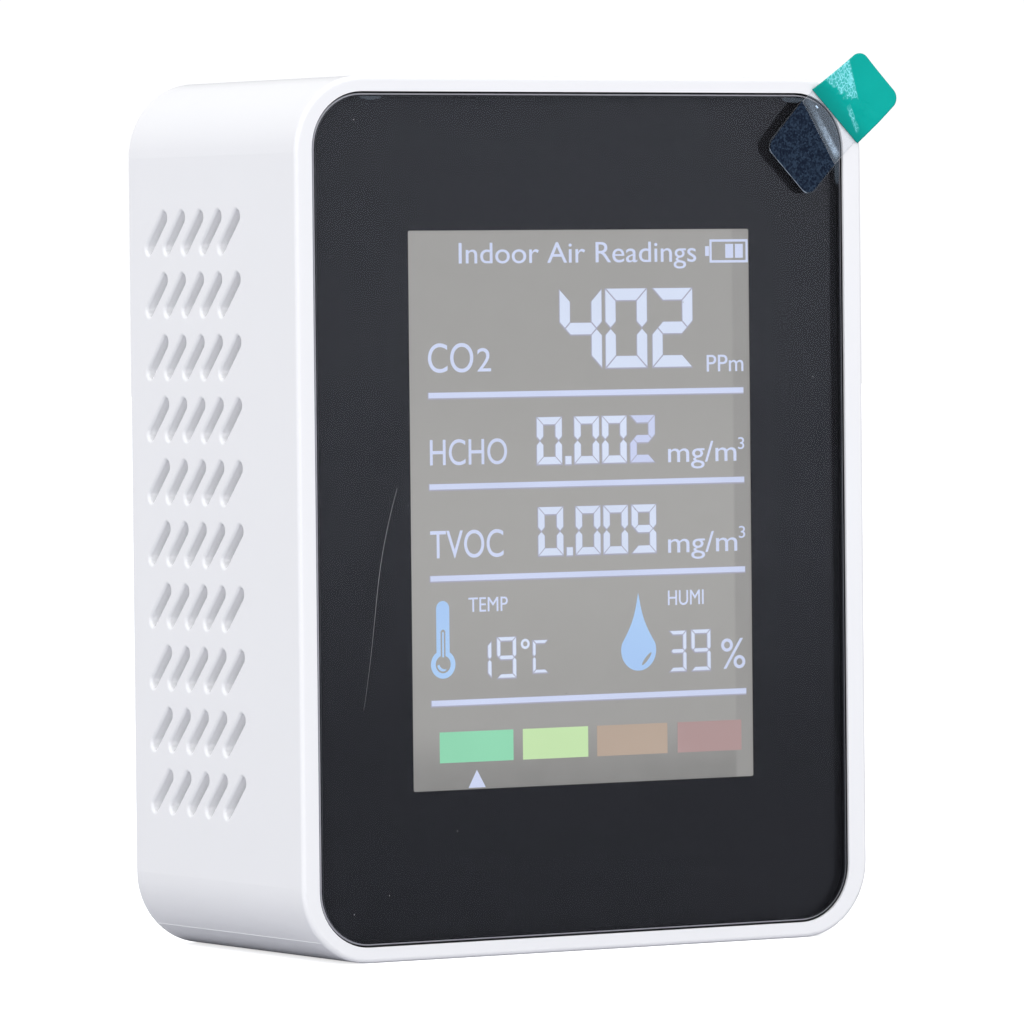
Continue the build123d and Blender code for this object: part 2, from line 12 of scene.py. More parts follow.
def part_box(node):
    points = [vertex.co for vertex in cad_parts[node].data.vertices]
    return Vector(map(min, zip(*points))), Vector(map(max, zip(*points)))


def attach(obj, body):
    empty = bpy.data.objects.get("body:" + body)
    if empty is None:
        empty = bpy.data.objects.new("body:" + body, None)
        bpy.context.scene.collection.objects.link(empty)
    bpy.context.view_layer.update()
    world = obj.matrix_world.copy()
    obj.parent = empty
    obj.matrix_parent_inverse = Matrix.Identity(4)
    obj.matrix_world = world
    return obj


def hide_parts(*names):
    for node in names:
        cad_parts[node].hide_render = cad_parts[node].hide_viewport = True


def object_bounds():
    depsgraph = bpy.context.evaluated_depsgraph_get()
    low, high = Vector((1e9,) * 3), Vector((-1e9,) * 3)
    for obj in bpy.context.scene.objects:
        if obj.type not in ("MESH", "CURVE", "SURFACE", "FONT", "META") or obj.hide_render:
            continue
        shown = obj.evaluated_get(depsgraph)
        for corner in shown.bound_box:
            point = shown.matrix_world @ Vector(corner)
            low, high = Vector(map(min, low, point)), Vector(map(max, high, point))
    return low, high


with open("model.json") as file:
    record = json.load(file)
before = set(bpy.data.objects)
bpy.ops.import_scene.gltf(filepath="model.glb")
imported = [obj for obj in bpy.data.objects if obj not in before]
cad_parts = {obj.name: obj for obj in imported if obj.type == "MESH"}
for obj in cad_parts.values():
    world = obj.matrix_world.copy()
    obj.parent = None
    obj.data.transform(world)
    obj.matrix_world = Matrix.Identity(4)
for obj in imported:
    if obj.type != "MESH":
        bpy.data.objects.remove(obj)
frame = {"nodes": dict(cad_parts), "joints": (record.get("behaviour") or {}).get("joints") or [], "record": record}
cad_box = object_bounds()
nodes = frame["nodes"]
joints = {joint["name"]: joint for joint in frame["joints"]}
MM = 0.001

# Places from the frame, in metres, apart from SIDE_X
lens_low, lens_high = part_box("front_lens")
lens_front = lens_low.y
screen_low, screen_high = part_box("front_polariser")
screen_centre = (screen_low + screen_high) / 2
SIDE_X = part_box("front_shell")[1].x / MM

film_low, film_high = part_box("protective_film")
film_centre = (film_low + film_high) / 2
hinge = Vector(joints["pull_flag_bend"]["pos_m"])
UP_TAB = Vector((1, 0, 1)).normalized()
ACROSS_TAB = Vector(joints["pull_flag_bend"]["axis"]).normalized()
OUTWARD = Vector((0, -1, 0))


def linked(name, data):
    """A new object in the scene."""
    made = bpy.data.objects.new(name, data)
    bpy.context.scene.collection.objects.link(made)
    return made


# ---------------------------------------------------------------- material tools

def linear(red, green, blue):
    """A scene-linear colour from 8-bit display values."""
    def channel(value):
        value /= 255
        return value / 12.92 if value <= 0.04045 else ((value + 0.055) / 1.055) ** 2.4
    return (channel(red), channel(green), channel(blue), 1.0)


def shaded(color, amount):
    """The colour made lighter or darker by a fraction."""
    return tuple(min(1.0, max(0.0, part * (1 + amount))) for part in color[:3]) + (1.0,)


def new_material(name):
    material = bpy.data.materials.new(name)
    material.use_nodes = True
    tree = material.node_tree
    tree.nodes.clear()
    return material, tree


def add(tree, kind, inputs=None, **attributes):
    """Adds a node. inputs maps a socket's name or number to a value or to another node's output."""
    made = tree.nodes.new("ShaderNode" + kind)
    for key, value in attributes.items():
        setattr(made, key, value)
    for key, value in (inputs or {}).items():
        if isinstance(value, bpy.types.NodeSocket):
            tree.links.new(value, made.inputs[key])
        else:
            made.inputs[key].default_value = value
    return made


def finished(material, shader):
    """The material with shader as its surface."""
    add(material.node_tree, "OutputMaterial", {"Surface": shader})
    return material


def painted(material, inputs):
    """The material with a Principled surface that has these inputs."""
    return finished(material, add(material.node_tree, "BsdfPrincipled", inputs).outputs[0])


def math_node(tree, operation, first, second=0.0):
    return add(tree, "Math", {0: first, 1: second}, operation=operation).outputs[0]


def product(tree, first, *others):
    for other in others:
        first = math_node(tree, "MULTIPLY", first, other)
    return first


def added(tree, first, *others):
    for other in others:
        first = math_node(tree, "ADD", first, other)
    return first


def place(tree, per_mm=1.0, stretch=(1.0, 1.0, 1.0)):
    """The point's place on the object, in units of 1/per_mm millimetres."""
    coordinates = add(tree, "TexCoord").outputs["Object"]
    scale = tuple(per_mm * part / MM for part in stretch)
    return add(tree, "Mapping", {"Vector": coordinates, "Scale": scale}).outputs[0]


def grains(tree, per_mm, detail=3.0, stretch=(1.0, 1.0, 1.0), distortion=0.0):
    """Noise from 0 to 1 with features of about 1/per_mm millimetres."""
    where = place(tree, per_mm, stretch)
    inputs = {"Vector": where, "Scale": 1.0, "Detail": detail, "Distortion": distortion}
    return add(tree, "TexNoise", inputs).outputs[0]


def remap(tree, value, low, high, to_low, to_high):
    """The value eased from low..high to to_low..to_high."""
    inputs = {0: value, 1: low, 2: high, 3: to_low, 4: to_high}
    return add(tree, "MapRange", inputs, interpolation_type="SMOOTHSTEP").outputs[0]


def uneven(tree, low, high, per_mm, **noise_values):
    """A value that drifts between low and high over the surface."""
    return remap(tree, grains(tree, per_mm, **noise_values), 0.3, 0.7, low, high)


def blend_colors(tree, factor, first, second):
    return add(tree, "Mix", {0: factor, 6: first, 7: second}, data_type="RGBA").outputs[2]


def distance_along(tree, origin, direction):
    """How far the point lies from origin along direction, in millimetres."""
    coordinates = add(tree, "TexCoord").outputs["Object"]
    offset = add(tree, "VectorMath", {0: coordinates, 1: tuple(origin)}, operation="SUBTRACT")
    inputs = {0: offset.outputs[0], 1: tuple(direction)}
    reach = add(tree, "VectorMath", inputs, operation="DOT_PRODUCT").outputs["Value"]
    return product(tree, reach, 1 / MM)


def band(tree, value, centre, half_width, soft):
    """1 within half_width of centre, and 0 from soft further out."""
    away = math_node(tree, "ABSOLUTE", math_node(tree, "SUBTRACT", value, centre))
    return remap(tree, away, half_width, half_width + soft, 1.0, 0.0)


def relief(tree, height, depth_mm):
    """A bumped normal from a height of 0 to 1."""
    inputs = {"Height": height, "Distance": depth_mm * MM, "Strength": 1.0}
    return add(tree, "Bump", inputs).outputs[0]


# ---------------------------------------------------------------- plain finishes

def pattern_height(tree, pattern, per_mm, stretch):
    """The fine relief of a finish, from 0 to 1."""
    if pattern == "weave":
        where = place(tree, per_mm)
        threads = [
            add(tree, "TexWave", {"Vector": where, "Scale": 1.0}, bands_direction=axis).outputs[1]
            for axis in ("X", "Z")
        ]
        return math_node(tree, "MAXIMUM", threads[0], threads[1])
    if pattern == "tracks":
        turned = add(
            tree, "Mapping", {"Vector": place(tree, per_mm), "Rotation": (math.pi / 2, 0, 0)}
        ).outputs[0]
        inputs = {"Vector": turned, "Scale": 1.0, "Mortar Size": 0.06, "Mortar Smooth": 0.4}
        return add(tree, "TexBrick", inputs).outputs["Fac"]
    if pattern == "dots":
        where = place(tree, per_mm)
        cells = add(tree, "TexVoronoi", {"Vector": where, "Scale": 1.0, "Randomness": 0.1})
        return remap(tree, cells.outputs["Distance"], 0.2, 0.35, 1.0, 0.0)
    return grains(tree, per_mm, stretch=stretch)


def surface(name, color, shade=0.05, rough=(0.4, 0.5), per_mm=3.0, depth=0.004, metallic=0.0,
            coat=0.0, specular=0.5, specular_tint=(1.0, 1.0, 1.0, 1.0), stretch=(1.0, 1.0, 1.0),
            pattern="noise", tint=0.0):
    """A moulded, printed or metal finish, with uneven shade and gloss, and a fine relief."""
    material, tree = new_material(name)
    height = pattern_height(tree, pattern, per_mm, stretch)
    broad = grains(tree, 0.12, detail=2.0)
    mottled = blend_colors(tree, broad, shaded(color, -shade), shaded(color, shade))
    if tint > 0:
        mottled = blend_colors(tree, product(tree, height, tint), mottled, shaded(color, 0.9))
    smudges = grains(tree, 0.5, detail=4.0)
    return painted(material, {
        "Base Color": mottled,
        "Roughness": remap(tree, smudges, 0.3, 0.7, rough[0], rough[1]),
        "Metallic": metallic,
        "Specular IOR Level": specular,
        "Specular Tint": specular_tint,
        "Coat Weight": coat,
        "Normal": relief(tree, height, depth),
    })


# The recess round the front panel, in millimetres: the gap beside the lens and the corner radius
LENS_GAP = 0.2
RECESS_RADIUS = 6.0
# The side vents, in millimetres: their rows' and columns' middle and half extent
VENT_ROWS = (46.0, 34.0)
VENT_COLUMNS = (4.0, 12.0)
# The strength of the painted glow on the vents' inner walls
VENT_PAINTED_GLOW = 0.12
# How deep the painted shade on the walls of the recess reaches behind the lens's front, in millimetres
GAP_SHADE_DEPTH = (1.6, 1.9)
SHELL_COLOR = (0.84, 0.843, 0.862, 1.0)
# The painted shade on faces of the shell seen edge-on
SHELL_EDGE_ON_SHADE = (0.3, 0.3, 0.34, 1.0)
# The colour of the painted shade in the narrow recess round the lens
GAP_SHADE_COLOR = (0.012, 0.012, 0.014, 1.0)


def beside_panel(tree, x, z):
    """How far a place is outside the outline of the front panel's recess, in millimetres."""
    middle = (lens_low + lens_high) / 2 / MM
    half_x = (lens_high.x - lens_low.x) / 2 / MM + LENS_GAP
    half_z = (lens_high.z - lens_low.z) / 2 / MM + LENS_GAP
    squares = []
    for part, centre, half in ((x, middle.x, half_x), (z, middle.z, half_z)):
        away = math_node(tree, "ABSOLUTE", math_node(tree, "SUBTRACT", part, centre))
        past_straight = math_node(tree, "SUBTRACT", away, half - RECESS_RADIUS)
        offset = math_node(tree, "MAXIMUM", past_straight, 0.0)
        squares.append(product(tree, offset, offset))
    reach = math_node(tree, "SQRT", added(tree, *squares))
    return math_node(tree, "SUBTRACT", reach, RECESS_RADIUS)


def shell_finish(name):
    """Satin white plastic, with a painted glow on the walls of its side vents for the little light that comes
    through its wall.

    The walls of the recess round the lens get a painted shade, for the dark narrow gap beside the lens.
    """
    material, tree = new_material(name)
    x, y, z = add(tree, "SeparateXYZ", {0: place(tree)}).outputs
    below_side = remap(tree, math_node(tree, "ABSOLUTE", x), SIDE_X - 0.7, SIDE_X - 0.1, 1.0, 0.0)
    true_normal = add(tree, "NewGeometry").outputs["True Normal"]
    downwards = remap(tree, add(tree, "SeparateXYZ", {0: true_normal}).outputs[2], -0.3, 0.3, 1.0, 0.1)
    in_vents = product(
        tree, below_side, band(tree, z, *VENT_ROWS, 2.0), band(tree, y, *VENT_COLUMNS, 0.5), downwards
    )

    mottled = blend_colors(
        tree, grains(tree, 0.12), shaded(SHELL_COLOR, -0.006), shaded(SHELL_COLOR, 0.006)
    )
    # Painted shade on faces seen edge-on, darker towards the outline
    grazing = add(tree, "LayerWeight", {"Blend": 0.5}).outputs["Facing"]
    mottled = blend_colors(tree, remap(tree, grazing, 0.80, 1.0, 0.0, 0.35), mottled, SHELL_EDGE_ON_SHADE)

    # Painted shade on the walls of the recess, for the narrow gap round the lens
    panel_front = lens_low.y / MM
    starts = remap(tree, y, panel_front + 0.05, panel_front + 0.2, 0.0, 1.0)
    ends = remap(tree, y, panel_front + GAP_SHADE_DEPTH[0], panel_front + GAP_SHADE_DEPTH[1], 1.0, 0.0)
    beside = remap(tree, beside_panel(tree, x, z), 0.3, 0.8, 1.0, 0.0)
    gap_shade = product(tree, starts, ends, beside)
    return painted(material, {
        "Base Color": blend_colors(tree, gap_shade, mottled, GAP_SHADE_COLOR),
        "Roughness": uneven(tree, 0.36, 0.44, 0.5, detail=4.0),
        "Specular IOR Level": 0.4,
        # A painted glow on the vents' inner walls, brightest on faces that look down
        "Emission Color": (0.94, 0.95, 1.0, 1.0),
        "Emission Strength": product(tree, in_vents, VENT_PAINTED_GLOW),
        "Normal": relief(tree, grains(tree, 9.0), 0.0012),
    })


# The tint of reflections in the front panel, and of places where clear film has whitened
COOL_GLOSS = (0.84, 0.87, 1.0, 1.0)
MILK = (0.66, 0.82, 1.0, 1.0)

FINISHES = {
    "button_white": dict(
        color=(0.78, 0.785, 0.80), shade=0.02, rough=(0.30, 0.36), per_mm=9.0, depth=0.001,
    ),
    "screw_steel": dict(
        color=(0.50, 0.50, 0.52), rough=(0.25, 0.40), per_mm=5.0, metallic=1.0,
        stretch=(1.0, 1.0, 0.1),
    ),
    "mask_black": dict(
        color=(0.0145, 0.0148, 0.0170), shade=0.03, rough=(0.04, 0.05), per_mm=12.0, depth=0.0002,
        specular=0.45, specular_tint=COOL_GLOSS,
    ),
    "tape_black": dict(color=(0.012, 0.012, 0.013), rough=(0.6, 0.8), per_mm=6.0, depth=0.01),
    "foam_black": dict(color=(0.02, 0.02, 0.021), shade=0.2, rough=(0.8, 0.95), per_mm=4.0, depth=0.06),
    "diffuser_white": dict(color=(0.86, 0.86, 0.88), rough=(0.5, 0.7), per_mm=10.0, depth=0.004),
    "guide_clear": dict(
        color=(0.75, 0.80, 0.83), rough=(0.05, 0.12), per_mm=1.4, depth=0.01, pattern="dots",
        tint=0.2,
    ),
    "frame_white": dict(color=(0.80, 0.80, 0.80), rough=(0.4, 0.5), per_mm=6.0),
    "led_body": dict(color=(0.88, 0.80, 0.30), shade=0.12, rough=(0.15, 0.3), per_mm=2.0, coat=0.5),
    "bracket_black": dict(color=(0.03, 0.03, 0.032), rough=(0.45, 0.6), per_mm=5.0, depth=0.01),
    "flex_amber": dict(
        color=(0.42, 0.15, 0.02), shade=0.12, rough=(0.2, 0.3), per_mm=1.6,
        stretch=(1.0, 0.03, 0.03), coat=0.6, tint=0.5,
    ),
    "connector_cream": dict(color=(0.72, 0.66, 0.50), rough=(0.4, 0.5), per_mm=4.0),
    "board_green": dict(
        color=(0.010, 0.105, 0.045), shade=0.15, rough=(0.25, 0.35), per_mm=0.8, depth=0.03,
        pattern="tracks", tint=0.5, coat=0.4,
    ),
    "chip_black": dict(
        color=(0.018, 0.018, 0.02), shade=0.1, rough=(0.5, 0.65), per_mm=8.0, depth=0.01,
    ),
    "contact_tin": dict(color=(0.70, 0.70, 0.71), rough=(0.2, 0.35), per_mm=8.0, metallic=1.0),
    "contact_gold": dict(color=(0.85, 0.58, 0.20), rough=(0.15, 0.3), per_mm=8.0, metallic=1.0),
    "ferrite_grey": dict(
        color=(0.05, 0.05, 0.055), shade=0.2, rough=(0.6, 0.8), per_mm=6.0, depth=0.02,
    ),
    "ceramic_tan": dict(color=(0.36, 0.22, 0.11), shade=0.15, rough=(0.35, 0.5), per_mm=5.0),
    "sensor_gold": dict(
        color=(0.78, 0.56, 0.22), shade=0.08, rough=(0.25, 0.4), per_mm=6.0, metallic=1.0,
        stretch=(0.1, 1.0, 1.0),
    ),
    "filter_white": dict(
        color=(0.85, 0.85, 0.83), rough=(0.8, 0.95), per_mm=2.2, depth=0.05, pattern="weave",
    ),
    "sensor_white": dict(color=(0.72, 0.73, 0.74), rough=(0.35, 0.5), per_mm=6.0),
    "can_steel": dict(
        color=(0.58, 0.58, 0.60), shade=0.06, rough=(0.22, 0.38), per_mm=6.0, metallic=1.0,
        stretch=(1.0, 0.1, 1.0),
    ),
    "pouch_foil": dict(
        color=(0.62, 0.63, 0.65), shade=0.06, rough=(0.3, 0.45), per_mm=0.5, depth=0.05,
        metallic=1.0,
    ),
    "tape_amber": dict(
        color=(0.55, 0.27, 0.02), shade=0.12, rough=(0.2, 0.3), per_mm=1.0, depth=0.02, coat=0.5,
    ),
    "lead_red": dict(color=(0.48, 0.01, 0.012), rough=(0.35, 0.5), per_mm=6.0),
    "lead_black": dict(color=(0.014, 0.014, 0.015), rough=(0.35, 0.5), per_mm=6.0),
}


# ---------------------------------------------------------------- clear and lit finishes

def clear(name, color, ior, rough, edge_color, haze=None, wear=0.0, side_shade=None):
    """Clear plastic film or sheet: its faces reflect a little, and its cut edges have a frost whose colour is
    also a painted highlight where they catch the light.

    haze, if given, builds a factor from 0 to 1 for how milky each place is. The sides, if given a colour
    of their own, get a painted shade for the dark gap beside them, and the edge colour is then only that
    of the chamfers.
    """
    material, tree = new_material(name)
    geometry = add(tree, "NewGeometry")
    scuffs = grains(tree, 0.35, detail=2.0, stretch=(1.0, 1.0, 0.4), distortion=0.6)
    normal = relief(tree, scuffs, wear)
    front_side = math_node(tree, "SUBTRACT", 1.0, geometry.outputs["Backfacing"])
    mirror = add(tree, "Fresnel", {"IOR": ior, "Normal": normal}).outputs[0]
    gloss = add(tree, "BsdfGlossy", {
        "Color": COOL_GLOSS,
        "Roughness": uneven(tree, rough * 0.8, rough * 1.2, 0.4),
        "Normal": normal,
    }).outputs[0]
    through = add(tree, "BsdfTransparent", {"Color": color}).outputs[0]
    amount = product(tree, mirror, front_side)
    face = add(tree, "MixShader", {0: amount, 1: through, 2: gloss}).outputs[0]
    if haze:
        milk = add(tree, "BsdfDiffuse", {"Color": MILK}).outputs[0]
        face = add(tree, "MixShader", {0: haze(tree), 1: face, 2: milk}).outputs[0]
    facing = add(tree, "SeparateXYZ", {0: geometry.outputs["True Normal"]}).outputs[1]
    on_edge = remap(tree, math_node(tree, "ABSOLUTE", facing), 0.80, 0.85, 1.0, 0.0)
    # The edges' colour: a frost, and also a painted highlight where they catch the light
    edge = blend_colors(tree, grains(tree, 0.7), shaded(edge_color, -0.2), edge_color)
    # The sides can get a painted shade of their own, for the dark gap beside them
    if side_shade:
        on_chamfer = remap(tree, math_node(tree, "ABSOLUTE", facing), 0.2, 0.3, 0.0, 1.0)
        edge = blend_colors(tree, on_chamfer, side_shade, edge)
    edge_frost_and_highlight = add(tree, "BsdfPrincipled", {
        "Base Color": edge,
        "Roughness": 0.35,
        "Specular IOR Level": 0.2,
    }).outputs[0]
    return finished(material, add(tree, "MixShader", {0: on_edge, 1: face, 2: edge_frost_and_highlight}).outputs[0])


def lit(name, color, shade=0.03, drift=0.06, body=0.02):
    """A glowing part of the display: its shade drifts slowly, with a fine mottle."""
    material, tree = new_material(name)
    slow = remap(tree, grains(tree, drift, detail=1.0), 0.35, 0.65, 0.0, 1.0)
    fine = grains(tree, 3.0, detail=2.0)
    tone = blend_colors(tree, slow, shaded(color, -shade), shaded(color, shade))
    tone = blend_colors(tree, product(tree, fine, 0.25), tone, shaded(color, -2 * shade))
    return painted(material, {
        "Base Color": (body, body, body, 1.0),
        "Roughness": 0.6,
        "Specular IOR Level": 0.1,
        "Emission Color": tone,
        "Emission Strength": 1.0,
    })


def display_ground(name):
    """The unlit ground of the display: warm grey, darker at its foot, with a painted reflection of the mask's edge
    as a darker band on its right.
    """
    material, tree = new_material(name)
    across = distance_along(tree, screen_centre, (1, 0, 0))
    upwards = distance_along(tree, screen_centre, (0, 0, 1))
    ground = linear(163, 161, 158)
    tone = blend_colors(
        tree, remap(tree, upwards, -29.0, -22.0, 0.0, 1.0), shaded(ground, -0.37), shaded(ground, -0.07)
    )
    tone = blend_colors(tree, remap(tree, upwards, -20.0, -8.0, 0.0, 1.0), tone, ground)
    tone = blend_colors(tree, remap(tree, upwards, 0.0, 18.0, 0.0, 1.0), tone, shaded(ground, -0.07))
    # A painted reflection of the mask's dark edge, a darker band on the right
    mask_edge_reflection = shaded(ground, -0.19)
    tone = blend_colors(tree, band(tree, across, 20.3, 1.0, 0.5), tone, mask_edge_reflection)
    mottle = uneven(tree, 0.0, 0.08, 0.3, detail=5.0)
    tone = blend_colors(tree, mottle, tone, shaded(ground, 0.15))
    return painted(material, {
        "Base Color": (0.03, 0.03, 0.03, 1.0),
        "Roughness": 0.5,
        "Emission Color": tone,
        "Emission Strength": 1.0,
    })


# ---------------------------------------------------------------- mesh tools

def show(name, mesh, material, body, smooth=False):
    """Puts a mesh in the scene as a piece that rides on a body."""
    mesh.materials.clear()
    mesh.materials.append(material)
    for face in mesh.polygons:
        face.use_smooth = smooth
    piece = linked(name, mesh)
    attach(piece, body)
    return piece


def closed(mesh, weld=0.0):
    """The mesh with its faces outwards, after a weld of points closer than weld."""
    shape = bmesh.new()
    shape.from_mesh(mesh)
    if weld > 0:
        bmesh.ops.remove_doubles(shape, verts=shape.verts, dist=weld)
    bmesh.ops.recalc_face_normals(shape, faces=shape.faces)
    shape.to_mesh(mesh)
    shape.free()
    return mesh


def filled(outlines, thickness):
    """A mesh of flat closed plates, in millimetres, from closed lists of (x, y) points."""
    curve = bpy.data.curves.new("outline", "CURVE")
    curve.dimensions = "2D"
    curve.fill_mode = "BOTH"
    curve.extrude = thickness / 2
    for outline in outlines:
        spline = curve.splines.new("POLY")
        spline.points.add(len(outline) - 1)
        for point, (x, y) in zip(spline.points, outline):
            point.co = (x, y, 0.0, 1.0)
        spline.use_cyclic_u = True
    return mesh_of(curve)


def mesh_of(curve):
    """The mesh of a curve or text, with its edges welded."""
    holder = linked("holder", curve)
    bpy.context.view_layer.update()
    evaluated = holder.evaluated_get(bpy.context.evaluated_depsgraph_get())
    mesh = bpy.data.meshes.new_from_object(evaluated)
    bpy.data.objects.remove(holder)
    return closed(mesh, 1e-4)


def joined(name, meshes):
    shape = bmesh.new()
    for mesh in meshes:
        shape.from_mesh(mesh)
    result = bpy.data.meshes.new(name)
    shape.to_mesh(result)
    shape.free()
    return result


def arc(centre, radius, start, end, steps=16):
    """Points on an arc, in degrees, anticlockwise from start to end."""
    return [
        (centre[0] + radius * math.cos(math.radians(start + (end - start) * step / steps)),
         centre[1] + radius * math.sin(math.radians(start + (end - start) * step / steps)))
        for step in range(steps + 1)
    ]


def grown(outline, amount):
    """A convex anticlockwise outline with each side moved outwards by amount, in millimetres."""
    count = len(outline)
    lines = []
    for index in range(count):
        (x0, y0), (x1, y1) = outline[index], outline[(index + 1) % count]
        length = math.hypot(x1 - x0, y1 - y0)
        out = ((y1 - y0) / length, -(x1 - x0) / length)
        lines.append((x0 + out[0] * amount, y0 + out[1] * amount, x1 - x0, y1 - y0))
    result = []
    for index in range(count):
        x0, y0, dx0, dy0 = lines[index - 1]
        x1, y1, dx1, dy1 = lines[index]
        cross = dx0 * dy1 - dy0 * dx1
        reach = ((x1 - x0) * dy1 - (y1 - y0) * dx1) / cross
        result.append((x0 + dx0 * reach, y0 + dy0 * reach))
    return result


def rectangle(left, right, low, high):
    return [(left, low), (right, low), (right, high), (left, high)]


# ---------------------------------------------------------------- display

GLYPH_THICK = 0.03
DISPLAY_GAP = 0.01
# How far the painted shadow behind each lit mark spreads and drops, in millimetres
SEGMENT_SHADOW_SPREAD = 0.09
SEGMENT_SHADOW_DROP = 0.05

SEGMENTS = {
    "0": "abcdef", "1": "bc", "2": "abged", "3": "abgcd", "4": "fgbc", "9": "abcdfg", "C": "afed",
}


def digit(character, left, right, low, high, thick, gap):
    """The lit segments of one seven-segment digit, as outlines."""
    middle = (low + high) / 2
    half = thick / 2
    inner_left, inner_right = left + thick, right - thick
    shapes = {
        "a": [(inner_left, high - thick), (inner_right, high - thick), (right, high), (left, high)],
        "d": [(left, low), (right, low), (inner_right, low + thick), (inner_left, low + thick)],
        "f": [(left, middle + half), (left + half, middle), (inner_left, middle + half),
              (inner_left, high - thick), (left, high)],
        "e": [(left, low), (inner_left, low + thick), (inner_left, middle - half),
              (left + half, middle), (left, middle - half)],
        "b": [(right - half, middle), (right, middle + half), (right, high),
              (inner_right, high - thick), (inner_right, middle + half)],
        "c": [(inner_right, low + thick), (right, low), (right, middle - half),
              (right - half, middle), (inner_right, middle - half)],
        "g": [(left + half, middle), (inner_left, middle - half), (inner_right, middle - half),
              (right - half, middle), (inner_right, middle + half), (inner_left, middle + half)],
    }
    return [grown(shapes[key], -gap / 2) for key in SEGMENTS[character]]


def lettering(text, left, right, base, cap, weight=0.0):
    """A label's letters as a mesh in millimetres, between left and right, with capitals cap high."""
    def letters(body):
        curve = bpy.data.curves.new("letters", "FONT")
        curve.body = body
        curve.size = 10.0
        curve.offset = weight
        curve.extrude = 1.0
        return mesh_of(curve)
    capital = letters("H")
    capital_high = max(vertex.co.y for vertex in capital.vertices)
    mesh = letters(text)
    low_x = min(vertex.co.x for vertex in mesh.vertices)
    high_x = max(vertex.co.x for vertex in mesh.vertices)
    scale_x = (right - left) / (high_x - low_x)
    scale = Matrix.Diagonal((scale_x, cap / capital_high, GLYPH_THICK / 2, 1.0))
    mesh.transform(Matrix.Translation((left - low_x * scale_x, base, 0.0)) @ scale)
    return mesh


def on_display(name, meshes, material, layer=0):
    """Puts flat meshes on the display's front, one thin layer above another."""
    mesh = joined(name, meshes)
    front = screen_low.y - (DISPLAY_GAP + GLYPH_THICK * (layer + 0.5) + 0.01 * layer) * MM
    facing = Matrix(((1, 0, 0, 0), (0, 0, -1, 0), (0, 1, 0, 0), (0, 0, 0, 1)))
    origin = Matrix.Translation((screen_centre.x, front, screen_centre.z))
    mesh.transform(origin @ facing @ Matrix.Scale(MM, 4))
    return show(name, mesh, material, "case")


# Each digit's left and right, the row's bottom and top, then a stroke's width and the gap between
BIG_DIGITS = (("4", -2.65, 2.66), ("0", 3.02, 8.31), ("2", 8.87, 14.02))
BIG_LOW, BIG_HIGH = 14.55, 23.05
BIG_THICK, BIG_GAP = 1.38, 0.17
GAS_THICK, GAS_GAP = 0.86, 0.11
GAS_ROWS = (
    # name, digits, bottom, top, left shift
    ("hcho", "0002", 4.55, 9.6, 0.0),
    ("tvoc", "0009", -5.05, 0.15, 0.06),
)
GAS_PLACES = ((-5.6, -2.44), (-0.96, 2.17), (2.48, 5.6), (5.99, 9.13))
POINT_PLACE = (-2.05, -1.33)
POINT_HIGH = 0.85
LABELS = (
    # text, left, right, base line, capital height
    ("Indoor Air Readings", -14.9, 14.5, 25.75, 2.15),
    ("CO", -18.76, -13.26, 14.42, 3.0),
    ("2", -12.79, -11.1, 14.45, 2.42),
    ("PPm", 15.71, 20.34, 14.05, 1.77),
    ("HCHO", -18.64, -9.25, 4.75, 2.65),
    ("mg/m", 10.74, 19.35, 4.5, 2.15),
    ("3", 19.58, 20.35, 5.75, 1.24),
    ("TVOC", -18.72, -9.8, -4.95, 2.85),
    ("mg/m", 10.63, 19.35, -5.1, 2.15),
    ("3", 19.58, 20.36, -3.72, 1.24),
    ("TEMP", -14.15, -9.35, -10.66, 1.5),
    ("HUMI", 10.55, 15.03, -10.66, 1.56),
    ("%", 17.21, 20.23, -17.6, 3.15),
)
SEPARATORS = (12.03, 2.5, -7.07, -20.08)
RULE_LEFT, RULE_RIGHT, RULE_THICK = -18.73, 20.3, 0.56
BARS = (
    ("bar_green", -17.82, -8.83, (150, 223, 184)),
    ("bar_lime", -7.65, 0.4, (206, 237, 181)),
    ("bar_tan", 1.52, 10.3, (189, 169, 153)),
    ("bar_red", 11.6, 19.65, (182, 153, 152)),
)
BAR_LOW, BAR_HIGH = -26.35, -23.13
POINTER = ((-14.36, -29.05), (-12.27, -29.05), (-13.33, -27.2))
SMALL_THICK, SMALL_GAP = 0.49, 0.13


def small_figures():
    """The temperature and humidity figures, with the degree sign."""
    outlines = digit("1", -13.85, -11.37, -17.63, -13.74, SMALL_THICK, SMALL_GAP)
    outlines += digit("9", -10.75, -8.33, -17.73, -13.35, SMALL_THICK, SMALL_GAP)
    outlines += digit("C", -6.35, -4.4, -17.33, -13.81, SMALL_THICK * 0.85, SMALL_GAP)
    outlines += digit("3", 10.63, 12.85, -17.75, -13.35, SMALL_THICK, SMALL_GAP)
    outlines += digit("9", 13.41, 15.9, -17.75, -13.3, SMALL_THICK, SMALL_GAP)
    return outlines


def degree_ring():
    centre = (-7.25, -14.2)
    return [arc(centre, 0.54, 0, 345, 23), arc(centre, 0.27, 0, 345, 23)]


def battery_icon():
    """An outline with a terminal on its left and two full cells."""
    left, right, low, high, line = 16.2, 21.02, 25.62, 28.1, 0.26
    body = rectangle(left, right, low, high)
    hollow = rectangle(left + line, right - line, low + line, high - line)
    middle = (low + high) / 2
    cells = [
        rectangle(cell_left, cell_left + 0.98, low + 0.5, high - 0.5)
        for cell_left in (18.2, 19.42)
    ]
    terminal = rectangle(left - 0.55, left - 0.08, middle - 0.52, middle + 0.52)
    return [body, hollow, terminal] + cells


